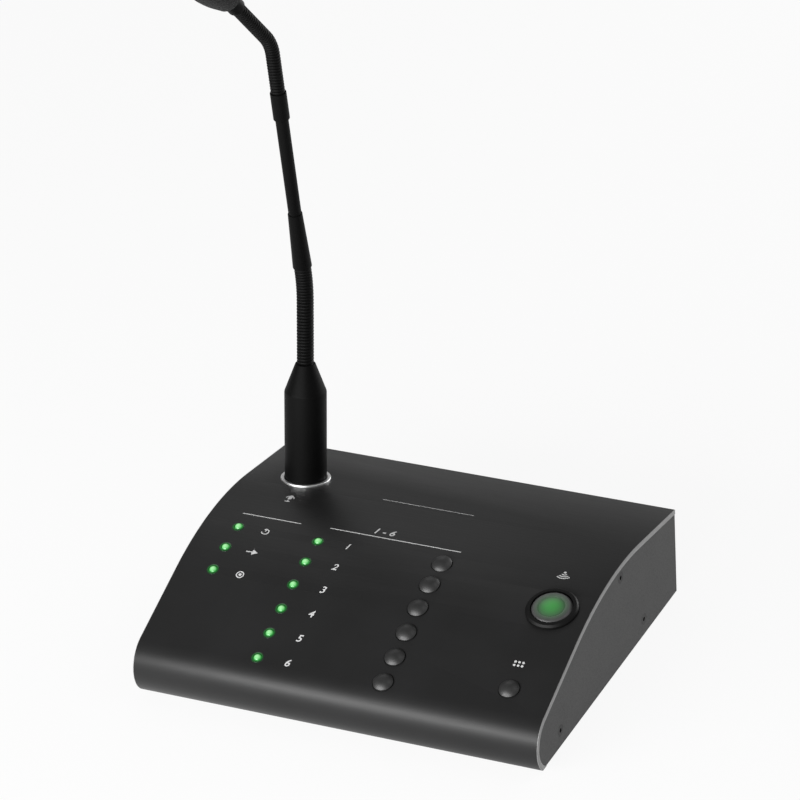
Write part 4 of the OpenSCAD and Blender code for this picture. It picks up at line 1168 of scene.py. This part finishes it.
def makeContacts():
    left = contacts["x"] - contacts["pitch"] * (contacts["count"] - 1) / 2 - contacts["wide"] / 2
    low, high, mouth, deep = (contacts[key] for key in ("low", "high", "mouth", "deep"))
    lip, tuck, rise = (contacts[key] for key in ("lip", "tuck", "rise"))
    route = [(deep, high), (mouth - contacts["bend"], high), (mouth - lip[0], high - lip[1]),
             (mouth - tuck[0], high - tuck[1]), (deep + rise[0], low + rise[1]),
             (deep + contacts["foot"], low)]
    obj = drawLine("linkContacts", [(left, y, z) for y, z in route])
    bpy.ops.mesh.extrude_region_move(TRANSFORM_OT_translate={"value": (contacts["wide"] * mm, 0, 0)})
    closeUp()
    wallUp(obj, "wire", contacts["thick"], -1)
    inRow(obj, contacts["count"], contacts["pitch"])
    settle(obj, asDrawn)
    dress(obj, goldFinish, "base", "pin_gold")


makeContacts()
print("link contacts made")


# wiring inside: a flat cable of sixteen strands and two round leads
wiring = dict(out=6, steps=6, under=16.52, strands=16, pitch=1.25, strand=0.9, rounding=4, web=0.35,
              ribbonX=30, ribbonU=50, ribbonSag=6, linkEnd=(45.6, 14.2), lead=3, micU=66, micSag=9,
              plugDeep=15.15, callU=30, callSag=5, blockDeep=22)


def boardSpot(u):
    return slopeFoot + u * alongPanel(console["slope"]) - polar(wiring["under"], console["slope"])


def hung(start, leave, end, arrive, sag):
    # leaves start one way, hangs by sag and comes to end from the side that arrive points to
    a, b = start + wiring["out"] * leave, end + wiring["out"] * arrive
    parts = [i / wiring["steps"] for i in range(1, wiring["steps"])]
    return [start, a] + [a.lerp(b, f) - Vector((0, 4 * sag * f * (1 - f))) for f in parts] + [b, end]


def strand(name, x, route, wide):
    fresh()
    bpy.ops.curve.primitive_bezier_curve_add()
    obj = bpy.context.object
    obj.name = name
    line = obj.data.splines[0]
    line.bezier_points.add(len(route) - 2)
    for knot, spot in zip(line.bezier_points, route):
        knot.co = Vector((x, spot[0], spot[1])) * mm
        knot.handle_left_type = knot.handle_right_type = "AUTO"
    obj.data.bevel_depth = wide / 2 * mm
    obj.data.bevel_resolution = wiring["rounding"]
    obj.data.use_fill_caps = True
    pick(obj)
    bpy.ops.object.convert(target="MESH")
    return bpy.context.object


boardDown = -polar(1, console["slope"])


def makeCable():
    start, end = boardSpot(wiring["ribbonU"]), Vector(wiring["linkEnd"])
    route = hung(start, boardDown, end, Vector((0, 1)), wiring["ribbonSag"])
    wide = wiring["pitch"] * (wiring["strands"] - 1)
    first = wiring["ribbonX"] - wide / 2
    cable = strand("flatCable", first, route, wiring["strand"])
    inRow(cable, wiring["strands"], wiring["pitch"])
    # the web between the strands follows the first strand's own line
    guide = strand("guide", first, route, 0)
    openUp(guide)
    bpy.ops.mesh.extrude_region_move(TRANSFORM_OT_translate={"value": (wide * mm, 0, 0)})
    closeUp()
    wallUp(guide, "web", wiring["web"], 0)
    obj = settle(joinUp("flatCable", [cable, guide]), asDrawn, crease["soft"])
    dress(obj, cableFinish, "base", "cable_grey", "flat_cable")


def makeLead(name, x, u, deep, boardU, sag, node):
    # from deep below the panel at u to the underside of the board at boardU
    point, tilt = panelSpot(u)
    route = hung(point - polar(deep, tilt), -polar(1, tilt), boardSpot(boardU), boardDown, sag)
    obj = settle(strand(name, x, route, wiring["lead"]), asDrawn, crease["soft"])
    dress(obj, cableFinish, "base", "cable_grey", node)


makeCable()
makeLead("micLead", micSpot["x"], micU, wiring["plugDeep"], wiring["micU"], wiring["micSag"], "mic_lead")
makeLead("callLead", callSpot["x"], callSpot["u"], wiring["blockDeep"], wiring["callU"], wiring["callSag"],
         "call_lead")
print("wiring made")


# carried-over solids
finishOf = {
    plateFinish: ["left_end_plate", "right_end_plate"],
    coverFinish: ["rear_panel"],
    screwFinish: ["end_screws", "rear_screws"],
    zincFinish: ["clinch_nuts", "base_plate", "foot_screws", "link_posts", "link_screws", "board_posts",
                 "board_screws"],
    rubberFinish: ["rubber_feet"],
    boardFinish: ["link_board", "main_board"],
    mouldFinish: ["link_socket", "power_inlet", "push_switches", "call_nut", "call_block", "socket_insert",
                  "pin_plate"],
    ringFinish: ["socket_nut"],
    micFinish: ["capsule_housing"],
    goldFinish: ["contact_pins"],
    capsuleFinish: ["capsule"],
}
for finish, nodes in finishOf.items():
    for name in nodes:
        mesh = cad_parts[name].data
        mesh.materials.clear()
        mesh.materials.append(finish)
print("carried-over solids dressed")


# studio: a pale floor out to the horizon, an even surround, soft lamps
studio = dict(floor=60, ambient=0.245, floorWhite=0.9, paper=0.85)
# places and sizes in metres, power in watts
lights = dict(
    frontLow=dict(place=(-0.25, -1.1, 0.38), aim=(0, -0.06, 0.03), size=(1.4, 0.36), power=22.5),
    overhead=dict(place=(1.0, 0.2, 1.3), aim=(0, 0, 0.05), size=(1.0, 0.8), power=2.6),
    highLeft=dict(place=(-0.6, 0.95, 1.05), aim=(0, 0, 0.05), size=(0.9, 0.9), power=1.4),
    behindRight=dict(place=(0.6, 1.3, 0.3), aim=(0.05, 0.05, 0.08), size=(0.8, 0.4), power=8),
)


def studioPaper():
    # white to the camera and in reflections, paper to the lamps, so it keeps the shadow
    f = Finish("studioFloor", {})
    ways = ("Is Camera Ray", "Is Glossy Ray", "Is Transmission Ray")
    camera, glossy, through = (f.add("ShaderNodeLightPath", {}, {}, way) for way in ways)
    seen = camera + glossy + through
    paper = f.add("ShaderNodeBsdfDiffuse", {}, {"Color": grey(studio["paper"])})
    white = f.add("ShaderNodeEmission", {}, {})
    share = seen.calc("MINIMUM", seen, 1.0) * studio["floorWhite"]
    mix = f.add("ShaderNodeMixShader", {}, {0: share, 1: paper, 2: white})
    f.tree.links.new(mix.out, f.tree.nodes["Material Output"].inputs["Surface"])
    f.tree.nodes.remove(f.shader)
    return f.material


def makeFloor():
    fresh()
    bpy.ops.mesh.primitive_plane_add(size=studio["floor"])
    floor = bpy.context.object
    floor.name = "studioFloor"
    floor.data.materials.append(studioPaper())


def makeWorld():
    world = bpy.data.worlds.new("studioWorld")
    bpy.context.scene.world = world
    world.use_nodes = True
    light = world.node_tree.nodes["Background"]
    light.inputs["Color"].default_value = (1, 1, 1, 1)
    light.inputs["Strength"].default_value = studio["ambient"]


def softLight(name, place, aim, size, power):
    bpy.ops.object.light_add(type="AREA")
    light = bpy.context.object
    light.name = name
    light.data.shape = "RECTANGLE"
    light.data.size, light.data.size_y = size
    light.data.energy = power
    light.location = place
    light.rotation_euler = (Vector(aim) - Vector(place)).to_track_quat("-Z", "Y").to_euler()


makeFloor()
makeWorld()
for name, light in lights.items():
    softLight(name, **light)
bpy.context.scene.view_settings.view_transform = "Standard"
print("studio set")
